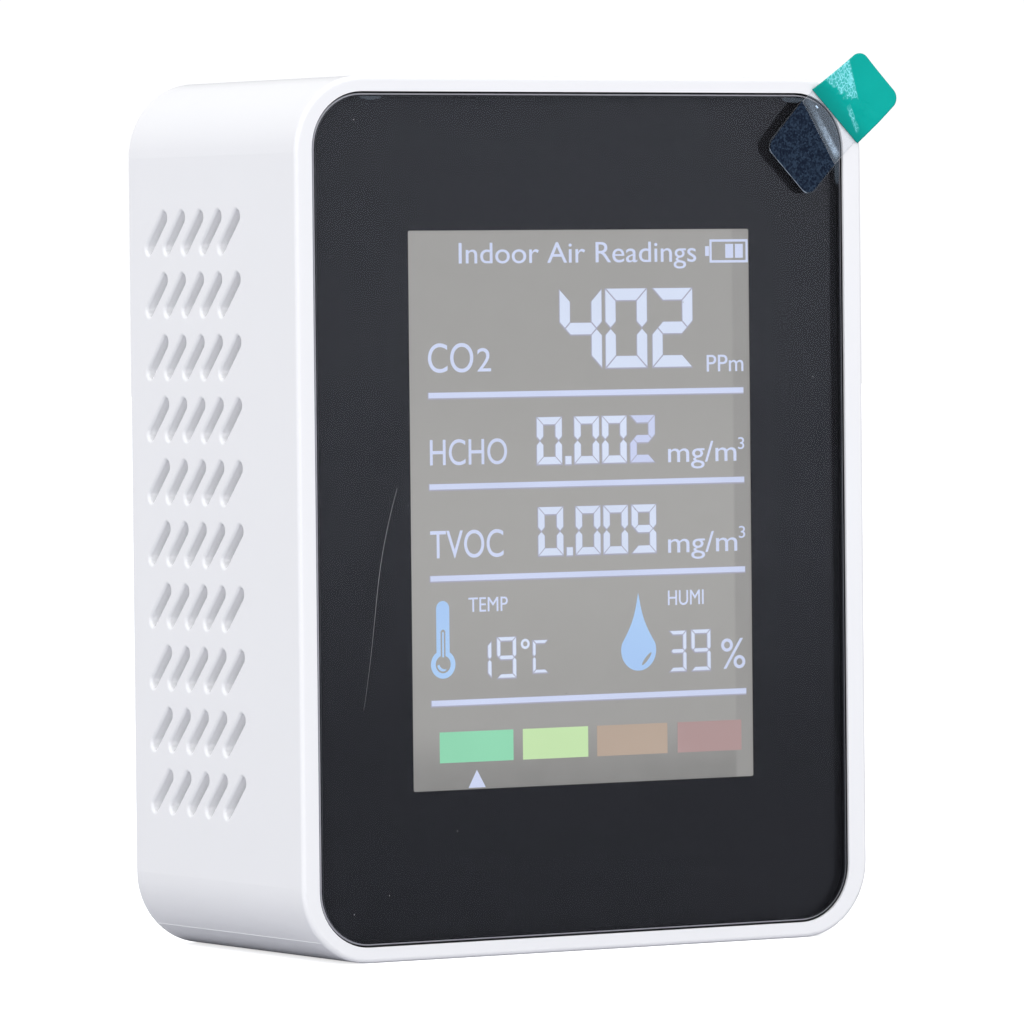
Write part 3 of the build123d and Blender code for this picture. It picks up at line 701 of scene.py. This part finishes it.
def thermometer_icon():
    """A tube on a bulb, with a hollow down its middle and a glint in the bulb."""
    bulb, radius, half = (-17.3, -16.04), 1.48, 0.79
    meet = math.degrees(math.acos(half / radius))
    top = -10.2
    outside = arc(bulb, radius, 180 - meet, 360 + meet, 40) + arc((bulb[0], top), half, 0, 180, 14)
    inner_radius, inner_half = 0.92, 0.3
    inner_meet = math.degrees(math.acos(inner_half / inner_radius))
    slot_top = -12.7
    hollow = arc(bulb, inner_radius, 180 - inner_meet, 360 + inner_meet, 30)
    hollow += arc((bulb[0], slot_top), inner_half, 0, 180, 10)
    bore = arc((bulb[0], slot_top - 0.05), 0.1, 0, 180, 8) + arc((bulb[0], -15.2), 0.1, 180, 360, 8)
    glint = arc(bulb, 0.72, 190, 290, 14) + arc((bulb[0] + 0.22, bulb[1] + 0.2), 0.72, 285, 195, 14)
    return [outside, hollow, bore, glint]


def drop_icon():
    """A drop with a slanting highlight."""
    centre, radius, tip_y = (6.81, -15.3), 2.18, -9.25
    reach = tip_y - centre[1]
    touch = math.degrees(math.acos(radius / reach))
    round_part = arc(centre, radius, 90 + touch, 450 - touch, 48)
    flank = []
    start = Vector(round_part[-1])
    tip = Vector((centre[0], tip_y))
    steps = 10
    for step in range(1, steps):
        share = step / steps
        point = start.lerp(tip, share)
        point.x -= 0.45 * math.sin(math.pi * share) * (1 - 0.3 * share)
        flank.append((point.x, point.y))
    mirrored = [(2 * centre[0] - x, y) for x, y in reversed(flank)]
    outside = round_part + flank + [tuple(tip)] + mirrored
    lean = math.radians(48)
    middle = (centre[0] + 1.0, centre[1] - 0.95)
    highlight = []
    for x, y in arc((0, 0), 1.0, 0, 345, 23):
        x, y = 0.88 * x, 0.2 * y
        highlight.append((middle[0] + x * math.cos(lean) - y * math.sin(lean),
                          middle[1] + x * math.sin(lean) + y * math.cos(lean)))
    return [outside, highlight]


def build_display():
    pale = lit("segment_glow", linear(222, 231, 252), shade=0.035)
    dimmer = lit("segment_glow_dim", linear(206, 213, 243), shade=0.03)
    shadow = lit("segment_painted_shadow", linear(176, 176, 196), shade=0.03)
    text_glow = lit("label_glow", linear(214, 222, 250), shade=0.04)
    icon_glow = lit("icon_glow", linear(178, 211, 255), shade=0.05)

    strokes = {"co2": [], "hcho": [], "tvoc": [], "dim": []}
    for character, left, right in BIG_DIGITS:
        strokes["co2"] += digit(character, left, right, BIG_LOW, BIG_HIGH, BIG_THICK, BIG_GAP)
    for name, characters, low, high, shift in GAS_ROWS:
        for character, (left, right) in zip(characters, GAS_PLACES):
            target = "dim" if name == "hcho" and character == "2" else name
            strokes[target] += digit(
                character, left + shift, right + shift, low, high, GAS_THICK, GAS_GAP
            )
        strokes[name].append(
            rectangle(POINT_PLACE[0] + shift, POINT_PLACE[1] + shift, low, low + POINT_HIGH)
        )
    figures = small_figures()
    rules = [
        rectangle(RULE_LEFT, RULE_RIGHT, height - RULE_THICK / 2, height + RULE_THICK / 2)
        for height in SEPARATORS
    ]

    for name, outlines in strokes.items():
        glow = dimmer if name == "dim" else pale
        on_display("digits_" + name, [filled(outlines, GLYPH_THICK)], glow, 1)
    on_display("digits_small", [filled(figures + degree_ring(), GLYPH_THICK)], pale, 1)
    on_display("display_rules", [filled(rules + [POINTER], GLYPH_THICK)], text_glow, 1)

    # A painted shadow behind each lit mark: a slightly larger plate, set lower and behind it
    shadow_casting_marks = [outline for outlines in strokes.values() for outline in outlines] + figures + rules
    shadow_plates = []
    for outline in shadow_casting_marks:
        wide = [(x, y - SEGMENT_SHADOW_DROP) for x, y in grown(outline, SEGMENT_SHADOW_SPREAD)]
        shadow_plates.append(filled([wide], GLYPH_THICK * 0.5))
    on_display("display_segment_shadow", shadow_plates, shadow, 0)

    on_display("display_labels", [lettering(*label) for label in LABELS], text_glow, 1)
    on_display("battery_icon", [filled(battery_icon(), GLYPH_THICK)], text_glow, 1)
    icons = [filled(thermometer_icon(), GLYPH_THICK), filled(drop_icon(), GLYPH_THICK)]
    on_display("display_icons", icons, icon_glow, 1)
    for name, left, right, color in BARS:
        material = lit(name + "_glow", linear(*color), shade=0.03)
        bar = filled([rectangle(left, right, BAR_LOW, BAR_HIGH)], GLYPH_THICK)
        on_display("display_" + name, [bar], material, 1)


# ---------------------------------------------------------------- protective film and tab

def rounded(corners, radii, steps=8):
    """An outline with its corners rounded: anticlockwise points, each with a radius."""
    result = []
    count = len(corners)
    for index, radius in enumerate(radii):
        corner = Vector(corners[index])
        before = (Vector(corners[index - 1]) - corner).normalized()
        after = (Vector(corners[(index + 1) % count]) - corner).normalized()
        if radius <= 0:
            result.append(tuple(corner))
            continue
        half_turn = before.angle(after) / 2
        reach = radius / math.tan(half_turn)
        centre = corner + (before + after).normalized() * radius / math.sin(half_turn)
        first = corner + before * reach - centre
        last = corner + after * reach - centre
        for step in range(steps + 1):
            spoke = first.lerp(last, step / steps).normalized() * radius
            result.append(tuple(centre + spoke))
    return result


def divided(outline, step):
    """The outline with long sides divided into lengths of about step."""
    result = []
    for index, start in enumerate(outline):
        end = outline[(index + 1) % len(outline)]
        pieces = max(1, round(math.dist(start, end) / step))
        for piece in range(pieces):
            share = piece / pieces
            result.append((start[0] + (end[0] - start[0]) * share,
                           start[1] + (end[1] - start[1]) * share))
    return result


def sheet_mesh(name, outline, height, thickness, rings, axes, origin):
    """A thin closed sheet over a star-shaped outline, in millimetres, raised by height(x, y)."""
    count = len(outline)
    centre = (sum(x for x, _ in outline) / count, sum(y for _, y in outline) / count)
    flat = [centre]
    for ring in range(1, rings + 1):
        share = ring / rings
        flat += [(centre[0] + (x - centre[0]) * share, centre[1] + (y - centre[1]) * share)
                 for x, y in outline]
    along, across, out = axes
    points = []
    for raise_by in (0.0, thickness):
        for x, y in flat:
            spot = origin + (along * x + across * y + out * (height(x, y) + raise_by)) * MM
            points.append(spot)
    below = len(flat)
    faces = []
    for index in range(count):
        following = (index + 1) % count
        faces.append((below, below + 1 + index, below + 1 + following))
        faces.append((0, 1 + following, 1 + index))
        for ring in range(1, rings):
            inner = 1 + (ring - 1) * count
            outer = inner + count
            quad = (inner + index, outer + index, outer + following, inner + following)
            faces.append(tuple(below + corner for corner in quad))
            faces.append((quad[0], quad[3], quad[2], quad[1]))
        last = 1 + (rings - 1) * count
        faces.append((last + index, last + following, below + last + following, below + last + index))
    mesh = bpy.data.meshes.new(name)
    mesh.from_pydata(points, [], faces)
    return closed(mesh)


def smooth_step(value, low, high):
    share = min(1.0, max(0.0, (value - low) / (high - low)))
    return share * share * (3 - 2 * share)


def film_lift(x, y):
    """How far the film stands off the lens, in millimetres: it has let go at its top right corner."""
    along = (x + y) / math.sqrt(2)
    corner = (FILM_HALF_WIDTH + FILM_HALF_HEIGHT) / math.sqrt(2)
    loose = smooth_step(along, corner - LIFT_REACH[0], corner - LIFT_REACH[1]) * LIFT_HEIGHT
    bubble = 0.0
    for bubble_x, bubble_y, reach_x, reach_y, high in BUBBLES:
        away = ((x - bubble_x) / reach_x) ** 2 + ((y - bubble_y) / reach_y) ** 2
        bubble += high * max(0.0, 1 - away)
    return 0.02 + loose + bubble


FILM_HALF_WIDTH = (film_high.x - film_low.x) / 2 / MM
FILM_HALF_HEIGHT = (film_high.z - film_low.z) / 2 / MM
FILM_RADIUS = 5.3
FILM_THICK = 0.07
# The film has let go this far from its corner's tangent line: where it starts, where it is full
LIFT_REACH = (8.0, 2.5)
LIFT_HEIGHT = 0.16
# How the tape's end and its creases slant across the tab
TAPE_SLANT = 0.235
# Bubbles along the film's border: place from the film's centre, half sizes, and height
BUBBLES = (
    (-25.7, 43.75, 1.4, 0.28, 0.05),
    (26.5, 43.7, 1.5, 0.42, 0.05),
    (32.1, 36.0, 0.35, 1.5, 0.05),
)


def tab_place(tree):
    """How far the point lies up the tab and across it from the flag's hinge, in millimetres."""
    return distance_along(tree, hinge, UP_TAB), distance_along(tree, hinge, ACROSS_TAB)


def loose_haze(tree):
    """Milky where the film has let go of the lens, by the tab and in the bubbles at its border."""
    along, across = tab_place(tree)
    wander = uneven(tree, -0.35, 0.35, 0.25, detail=1.0)
    edge = added(tree, product(tree, across, TAPE_SLANT), wander)
    loose = remap(tree, added(tree, along, edge), -3.0, -2.2, 0.0, 1.0)
    sides = band(tree, across, 0.0, 4.6, 0.8)
    haze = product(tree, loose, sides, 0.042)
    for bubble_x, bubble_y, reach_x, reach_y, _ in BUBBLES:
        centre = film_centre + Vector((bubble_x, 0, bubble_y)) * MM
        x = math_node(tree, "DIVIDE", distance_along(tree, centre, (1, 0, 0)), reach_x)
        z = math_node(tree, "DIVIDE", distance_along(tree, centre, (0, 0, 1)), reach_y)
        away = added(tree, product(tree, x, x), product(tree, z, z))
        spot = remap(tree, away, 0.6, 1.1, 0.035, 0.0)
        haze = math_node(tree, "MAXIMUM", haze, spot)
    return haze


def tape_haze(tree):
    """Whitened creases that run across the clear part of the tab, and a small painted glint."""
    along, across = tab_place(tree)
    place_along = added(tree, along, product(tree, across, TAPE_SLANT))
    scatter = remap(tree, grains(tree, 3.0, detail=4.0), 0.35, 0.65, 0.35, 1.0)
    first = product(
        tree, band(tree, place_along, -3.35, 0.12, 0.22), remap(tree, across, -3.9, 0.5, 0.16, 0.0)
    )
    second = product(
        tree, band(tree, place_along, -1.95, 0.16, 0.35), remap(tree, across, -3.0, 2.6, 0.04, 0.32),
        band(tree, across, 0.0, 3.0, 0.7),
    )
    creases = product(tree, added(tree, first, second), scatter)
    # A small painted glint on the clear tape, laid over the creases
    painted_glint = product(tree, band(tree, along, -0.86, 0.05, 0.07), band(tree, across, -2.2, 0.12, 0.1))
    creases = math_node(tree, "MAXIMUM", creases, product(tree, painted_glint, 0.9))
    return added(tree, creases, 0.032)


def build_film():
    outline = rounded(
        rectangle(-FILM_HALF_WIDTH, FILM_HALF_WIDTH, -FILM_HALF_HEIGHT, FILM_HALF_HEIGHT),
        [FILM_RADIUS] * 4, 14,
    )
    # The film's edge colour is partly a painted highlight, where its cut edge catches the light
    material = clear("film_clear", (0.97, 0.975, 0.98, 1.0), ior=1.16, rough=0.045,
                     edge_color=linear(104, 106, 112), haze=loose_haze)
    axes = (Vector((1, 0, 0)), Vector((0, 0, 1)), OUTWARD)
    origin = Vector((film_centre.x, lens_front, film_centre.z))
    mesh = sheet_mesh("screen_film", divided(outline, 0.9), film_lift, FILM_THICK, rings=40,
                      axes=axes, origin=origin)
    film = show("screen_film", mesh, material, "screen_film", smooth=False)
    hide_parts("protective_film")
    build_scratch(origin, axes)
    build_dust(origin, axes)


# The scratch's path from the film's centre, and its width along the path as a share of the widest
SCRATCH_PATH = ((-23.0, 3.2), (-24.9, -2.6), (-25.75, -9.3), (-26.5, -15.6), (-27.3, -19.7))
SCRATCH_WIDTHS = (0.5, 1.0, 0.7, 0.5, 0.3)
SCRATCH_RADIUS = 0.024
SCRATCH_LIFT = 0.1
DUST_COUNT = 70
DUST_MARGIN = 1.5


def build_scratch(origin, axes):
    """A long fine scratch on the film, left of the display, as a slender raised burr."""
    curve = bpy.data.curves.new("film_scratch", "CURVE")
    curve.dimensions = "3D"
    curve.bevel_depth = SCRATCH_RADIUS
    curve.bevel_resolution = 1
    curve.use_fill_caps = True
    spline = curve.splines.new("NURBS")
    spline.points.add(len(SCRATCH_PATH) - 1)
    for point, (x, y), width in zip(spline.points, SCRATCH_PATH, SCRATCH_WIDTHS):
        point.co = (x, y, 0.0, 1.0)
        point.radius = width
    spline.order_u = 4
    spline.use_endpoint_u = True
    spline.resolution_u = 12
    mesh = mesh_of(curve)
    along, across, out = axes
    turn = Matrix((along, across, out)).transposed().to_4x4()
    lift = origin + out * SCRATCH_LIFT * MM
    mesh.transform(Matrix.Translation(lift) @ turn @ Matrix.Scale(MM, 4))
    material = surface("scratch_burr", linear(150, 150, 152), shade=0.2, rough=(0.3, 0.6), per_mm=4.0)
    show("film_scratch", mesh, material, "screen_film", smooth=True)


def build_dust(origin, axes):
    """Tiny specks of dust on the film."""
    chance = random.Random(11)
    along, across, out = axes
    shape = bmesh.new()
    half_x, half_y = FILM_HALF_WIDTH - DUST_MARGIN, FILM_HALF_HEIGHT - DUST_MARGIN
    for _ in range(DUST_COUNT):
        x = chance.uniform(-half_x, half_x)
        y = chance.uniform(-half_y, half_y)
        size = 0.022 + 0.05 * chance.random() ** 4
        high = film_lift(x, y) + FILM_THICK
        speck = bmesh.ops.create_icosphere(shape, subdivisions=1, radius=1.0)["verts"]
        turn = Matrix.Rotation(chance.uniform(0, math.tau), 4, "Z")
        squeeze = Matrix.Diagonal((size * chance.uniform(0.7, 1.6), size, size * 0.4, 1.0))
        for vertex in speck:
            local = turn @ squeeze @ (vertex.co * chance.uniform(0.8, 1.15))
            vertex.co = origin + (along * (x + local.x) + across * (y + local.y)
                                  + out * (high + local.z)) * MM
    mesh = bpy.data.meshes.new("film_dust")
    shape.to_mesh(mesh)
    shape.free()
    material = surface("dust_grey", linear(128, 128, 130), shade=0.3, rough=(0.8, 0.95), per_mm=20.0)
    show("film_dust", mesh, material, "screen_film")


# The tab's own places, in millimetres from the flag's hinge: first up the tab, then across it
PAD_CORNERS = ((-8.4, 3.84), (-8.35, -3.6), (-1.75, -3.94), (-3.59, 3.75))
BRIDGE_CORNERS = ((-3.62, 3.72), (-1.78, -3.9), (0.9, -3.75), (0.9, 3.85))
FLAG_CORNERS = ((0.0, 4.15), (0.0, -3.95), (7.1, -2.95), (6.95, 4.3))
PAD_THICK, BORDER_THICK, BRIDGE_THICK, FLAG_THICK = 0.045, 0.025, 0.06, 0.12
FLAG_SLOPE = math.tan(math.radians(6.0))
FLAG_LENGTH = 7.0


def facing_up(corners):
    """The corners in anticlockwise order."""
    area = sum(corners[i - 1][0] * corners[i][1] - corners[i][0] * corners[i - 1][1]
               for i in range(len(corners)))
    return list(corners) if area > 0 else list(reversed(corners))


def border_haze(tree):
    """The clear border is whitened where it has lifted, at the pad's lower end."""
    along = distance_along(tree, hinge, UP_TAB)
    worn = remap(tree, grains(tree, 0.9), 0.3, 0.6, 0.5, 1.0)
    return product(tree, remap(tree, along, -8.35, -8.15, 0.32, 0.02), worn)


def pad_finish():
    """Dark blue adhesive seen through the clear tape, mottled where it has wetted the film."""
    material, tree = new_material("tape_tint")
    cells = add(tree, "TexVoronoi", {"Vector": place(tree, 5.0), "Scale": 1.0, "Randomness": 1.0})
    cell_shade = add(tree, "SeparateColor", {0: cells.outputs["Color"]}).outputs[0]
    fine = grains(tree, 4.0, detail=6.0, distortion=0.8)
    mixed = product(tree, cell_shade, fine)
    mottle = remap(tree, mixed, 0.05, 0.55, 0.0, 1.0)
    color = blend_colors(tree, mottle, linear(15, 25, 42), linear(43, 58, 76))
    return painted(material, {
        "Base Color": color,
        "Roughness": remap(tree, fine, 0.3, 0.7, 0.32, 0.6),
        "Specular IOR Level": 0.06,
        "Normal": relief(tree, mixed, 0.02),
    })


def flag_finish():
    """Teal plastic with a painted highlight where it is crinkled: a patch by its left corner, and a streak."""
    material, tree = new_material("flag_green")
    along, across = tab_place(tree)
    broad = grains(tree, 0.35, detail=2.0)
    near_root = remap(tree, along, 0.0, 2.4, 1.0, 0.0)
    base = blend_colors(tree, broad, linear(9, 163, 152), linear(15, 174, 162))
    base = blend_colors(tree, product(tree, near_root, 0.6), base, linear(12, 126, 118))

    wander = uneven(tree, -0.35, 0.35, 1.6, detail=3.0)
    rising = added(tree, along, product(tree, across, 0.548))
    level = math_node(tree, "SUBTRACT", along, product(tree, across, 0.165))
    falling = math_node(tree, "SUBTRACT", along, across)
    upper = remap(tree, rising, 3.35, 3.6, 1.0, 0.0)
    lower = remap(tree, added(tree, level, wander), 2.1, 2.8, 0.0, 1.0)
    corner = remap(tree, added(tree, falling, wander), 2.4, 3.0, 0.0, 1.0)
    patch = product(tree, upper, lower, corner)
    lean = added(tree, along, product(tree, across, 0.347))
    wavy = added(tree, lean, product(tree, wander, 0.2))
    streak = product(
        tree, band(tree, wavy, 1.94, 0.1, 0.25), band(tree, across, 1.78, 1.1, 0.5), 0.7
    )
    crumple_and_highlight = math_node(tree, "MAXIMUM", patch, streak)

    crazing = add(tree, "TexVoronoi", {"Vector": place(tree, 3.0, (1.0, 1.0, 0.7)), "Scale": 1.0},
                  feature="DISTANCE_TO_EDGE")
    cracks = remap(tree, crazing.outputs["Distance"], 0.0, 0.22, 1.0, 0.0)
    fine = grains(tree, 5.0, detail=3.0)
    # A painted highlight, light cyan, over the crinkled patch and the streak; the crinkles are also a relief
    glint = product(tree, crumple_and_highlight, added(tree, 0.35, cracks), remap(tree, fine, 0.35, 0.65, 0.45, 0.9))
    color = blend_colors(tree, glint, base, linear(140, 232, 240))
    height = product(tree, added(tree, cracks, fine), crumple_and_highlight)
    return painted(material, {
        "Base Color": color,
        "Roughness": remap(tree, broad, 0.3, 0.7, 0.14, 0.20),
        "Specular IOR Level": 0.06,
        "Normal": relief(tree, height, 0.02),
    })


def flag_height(x, y):
    """The flag leans forward, bellies a little, and is creased where it was pressed flat."""
    share = x / FLAG_LENGTH
    belly = 0.22 * math.sin(math.pi * min(1.0, share)) + 0.12 * share * (y / 4.0) ** 2
    crease = 0.05 * math.exp(-((x - 2.2 - 0.25 * y) / 0.35) ** 2)
    crumple = 0.035 * noise.noise(Vector((x * 2.6, y * 2.6, 3.0)))
    near = smooth_step(x, 0.3, 1.4) * (1 - smooth_step(x, 3.2, 4.4))
    return FLAG_SLOPE * x + belly + (crease + crumple) * near


def bridge_height(x, y):
    """The clear part of the tab arches over the lens's border, with two creases across it."""
    slant = x + TAPE_SLANT * y
    arch = 0.10 * math.sin(math.pi * smooth_step(x, -3.6, 0.9))
    creases = 0.05 * math.exp(-((slant + 2.0) / 0.3) ** 2)
    creases += 0.03 * math.exp(-((slant + 3.2) / 0.2) ** 2)
    return -0.13 + arch * 0.5 + creases * (1 - smooth_step(x, -1.0, 0.0))


def build_tab():
    axes = (UP_TAB, ACROSS_TAB, OUTWARD)
    pad_shape = divided(rounded(facing_up(PAD_CORNERS), pad_radii(PAD_CORNERS), 7), 0.35)
    pad = sheet_mesh("tape_pad", pad_shape, pad_height, PAD_THICK, rings=16, axes=axes, origin=hinge)
    show("tape_pad", pad, pad_finish(), "screen_film")

    rim = clear("tape_border", (0.98, 0.98, 0.98, 1.0), ior=1.34, rough=0.1,
                edge_color=linear(120, 122, 128), haze=border_haze)
    border_shape = divided(
        grown_outline(rounded(facing_up(PAD_CORNERS), pad_radii(PAD_CORNERS), 7), 0.17), 0.35
    )
    border = sheet_mesh("tape_border", border_shape, lambda x, y: pad_height(x, y) - 0.03,
                        BORDER_THICK, rings=4, axes=axes, origin=hinge)
    show("tape_border", border, rim, "screen_film")

    bridge_shape = divided(facing_up(BRIDGE_CORNERS), 0.3)
    bridge = sheet_mesh("tape_bridge", bridge_shape, bridge_height, BRIDGE_THICK, rings=14, axes=axes,
                        origin=hinge)
    material = clear("tape_bridge", (0.985, 0.985, 0.985, 1.0), ior=1.38, rough=0.12,
                     edge_color=linear(226, 228, 232), haze=tape_haze, wear=0.004)
    bridge = show("tape_bridge", bridge, material, "screen_film", smooth=True)
    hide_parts("film_pull_tape")

    flag_shape = divided(rounded(facing_up(FLAG_CORNERS), flag_radii(FLAG_CORNERS), 8), 0.22)
    flag = sheet_mesh("pull_flag_sheet", flag_shape, flag_height, FLAG_THICK, rings=26, axes=axes,
                      origin=hinge)
    flag = show("pull_flag_sheet", flag, flag_finish(), "pull_flag", smooth=True)
    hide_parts("film_pull_flag")


def pad_radii(corners):
    """Round at the film's end, and sharp where the tape leaves the film."""
    return [1.1 if x < -6 else 0.0 for x, _ in facing_up(corners)]


def flag_radii(corners):
    """Sharp at the root and round at the tip."""
    return [1.25 if x > 3 else 0.0 for x, _ in facing_up(corners)]


def grown_outline(outline, amount):
    """The outline moved outwards by amount from its own middle, point by point."""
    count = len(outline)
    middle = Vector((sum(x for x, _ in outline) / count, sum(y for _, y in outline) / count))
    result = []
    for x, y in outline:
        spoke = Vector((x, y)) - middle
        result.append(tuple(middle + spoke * (1 + amount / spoke.length)))
    return result


def pad_height(x, y):
    """The pad lies on the film, with a shallow ripple."""
    ripple = 0.012 * noise.noise(Vector((x * 1.1, y * 1.1, 7.0)))
    corner = (FILM_HALF_WIDTH + FILM_HALF_HEIGHT) / math.sqrt(2)
    film_x = (hinge.x - film_centre.x) / MM + (UP_TAB.x * x + ACROSS_TAB.x * y)
    film_y = (hinge.z - film_centre.z) / MM + (UP_TAB.z * x + ACROSS_TAB.z * y)
    reach = min(corner, (film_x + film_y) / math.sqrt(2))
    lift = smooth_step(reach, corner - LIFT_REACH[0], corner - LIFT_REACH[1]) * LIFT_HEIGHT
    film_surface = (hinge.y - lens_front) / MM + 0.09 + lift
    return film_surface + PAD_THICK + ripple


# ---------------------------------------------------------------- finishes on the CAD nodes

PRINT_GAP = 0.02


def build_print(material):
    """The black print behind the lens, a hair clear of the lens's rear face."""
    node = nodes["lens_mask"]
    low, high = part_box("lens_mask")
    mesh = node.data.copy()
    mesh.name = "lens_print"
    mesh.transform(node.matrix_world)
    for vertex in mesh.vertices:
        if vertex.co.y < (low.y + high.y) / 2:
            vertex.co.y += PRINT_GAP * MM
    lens_print = show("lens_print", mesh, material, "case")
    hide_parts("lens_mask")


def dress_nodes():
    finishes = {name: surface(name, **values) for name, values in FINISHES.items()}
    # The lens: a painted highlight on its chamfers and a painted shade on its sides
    finishes["lens_clear"] = clear("lens_clear", (0.985, 0.985, 0.985, 1.0), ior=1.10, rough=0.02,
                                   edge_color=linear(176, 176, 184), side_shade=linear(14, 14, 17))
    finishes["shell_white"] = shell_finish("shell_white")
    finishes["display_grey"] = display_ground("display_grey")
    finishes["display_glass"] = clear("display_glass", (0.95, 0.96, 0.96, 1.0), ior=1.4, rough=0.03,
                                      edge_color=linear(120, 140, 138))
    build_print(finishes["mask_black"])
    for row in frame["record"]["subparts"]:
        node = nodes[row["node"]]
        if node.hide_render:
            continue
        node.data.materials.clear()
        node.data.materials.append(finishes[row["material_slot"]])


# ---------------------------------------------------------------- studio

def aimed(name, data, direction):
    """A lamp that shines from a direction."""
    lamp = linked(name, data)
    lamp.rotation_mode = "QUATERNION"
    lamp.rotation_quaternion = Vector(direction).to_track_quat("Z", "Y")
    return lamp


def area_light(name, direction, distance, size, watts):
    """A square softbox that faces the middle of the object."""
    data = bpy.data.lights.new(name, "AREA")
    data.shape = "SQUARE"
    data.size = size
    data.energy = watts
    towards = Vector(direction).normalized()
    aimed(name, data, towards).location = (cad_box[0] + cad_box[1]) / 2 + towards * distance


def broad_light(name, direction, strength, spread):
    """A very large soft light, a spread of degrees across, that shines from a direction."""
    data = bpy.data.lights.new(name, "SUN")
    data.energy = strength
    data.angle = math.radians(spread)
    aimed(name, data, direction)


# How bright the surroundings are for the object and for the camera
WORLD_LIGHT = 0.84
WORLD_SEEN = 1.05
FLOOR_HALF = 4.0
# The camera's turn, in degrees, its distance in metres, its focal length and its target in mm
CAMERA_TURN = (31.3245, 1.5804, -0.5846)
CAMERA_DISTANCE = 0.8713
CAMERA_LENS = 285.72
CAMERA_TARGET = (1.61, 0.0, 45.84)


PAPER_SEEN = (0.93, 0.93, 0.935, 1.0)
PAPER_BOUNCE = (0.52, 0.525, 0.57, 1.0)
PAPER_MIRRORED_NEAR = (0.33, 0.33, 0.34, 1.0)
PAPER_MIRRORED_FAR = (0.66, 0.66, 0.67, 1.0)


def studio_paper():
    """White paper: the camera sees it brightly lit, and the object gets less light back from it."""
    material, tree = new_material("studio_paper")
    fibres = grains(tree, 0.5)
    rays = add(tree, "LightPath").outputs
    seen = rays["Is Camera Ray"]
    coordinates = add(tree, "TexCoord").outputs["Object"]
    away = add(tree, "VectorMath", {0: coordinates}, operation="LENGTH").outputs["Value"]
    mirrored = blend_colors(
        tree, remap(tree, away, 0.2, 1.6, 0.0, 1.0), PAPER_MIRRORED_NEAR, PAPER_MIRRORED_FAR
    )
    tone = blend_colors(tree, rays["Is Glossy Ray"], PAPER_BOUNCE, mirrored)
    tone = blend_colors(tree, seen, tone, PAPER_SEEN)
    return painted(material, {
        "Base Color": tone,
        "Roughness": remap(tree, fibres, 0.3, 0.7, 0.6, 0.7),
        "Specular IOR Level": 0.0,
        "Emission Color": (1.0, 1.0, 1.0, 1.0),
        "Emission Strength": product(tree, seen, 0.65),
        "Normal": relief(tree, fibres, 0.002),
    })


def build_studio():
    scene = bpy.context.scene
    scene.view_settings.view_transform = "Standard"
    scene.view_settings.look = "None"

    world = bpy.data.worlds.new("studio")
    world.use_nodes = True
    tree = world.node_tree
    tree.nodes.clear()
    seen = add(tree, "LightPath").outputs["Is Camera Ray"]
    strength = added(tree, WORLD_LIGHT, product(tree, seen, WORLD_SEEN - WORLD_LIGHT))
    background = add(tree, "Background", {"Color": (0.985, 0.99, 1.0, 1.0), "Strength": strength})
    add(tree, "OutputWorld", {0: background.outputs[0]})
    scene.world = world

    floor_mesh = bpy.data.meshes.new("studio_floor")
    square = rectangle(-FLOOR_HALF, FLOOR_HALF, -FLOOR_HALF, FLOOR_HALF)
    corners = [(x, y, 0.0) for x, y in square]
    floor_mesh.from_pydata(corners, [], [(0, 1, 2, 3)])
    floor_mesh.materials.append(studio_paper())
    floor = linked("studio_floor", floor_mesh)

    area_light("key_softbox", direction=(0.50, -0.80, 0.36), distance=0.9, size=0.16, watts=0.35)
    broad_light("overhead", direction=(-0.35, -0.35, 1.0), strength=0.6, spread=70)
    broad_light("left_fill", direction=(-0.60, -0.77, 0.20), strength=1.5, spread=60)


def build_camera():
    """The camera stands left of the display's axis, a little above the middle of the case."""
    yaw, pitch, roll = (math.radians(angle) for angle in CAMERA_TURN)
    target = Vector(CAMERA_TARGET) * MM
    level_part = math.cos(pitch)
    forward = Vector((math.sin(yaw) * level_part, math.cos(yaw) * level_part, -math.sin(pitch)))
    level = Vector((math.cos(yaw), -math.sin(yaw), 0.0))
    upright = level.cross(forward)
    right = math.cos(roll) * level + math.sin(roll) * upright
    up = math.cos(roll) * upright - math.sin(roll) * level
    data = bpy.data.cameras.new("camera")
    data.lens = CAMERA_LENS
    data.sensor_width = 36.0
    data.clip_start = 0.05
    camera = linked("camera", data)
    turn = Matrix((right, up, -forward)).transposed().to_4x4()
    camera.matrix_world = Matrix.Translation(target - forward * CAMERA_DISTANCE) @ turn
    bpy.context.scene.camera = camera


build_display()
build_film()
build_tab()
dress_nodes()
build_studio()
build_camera()
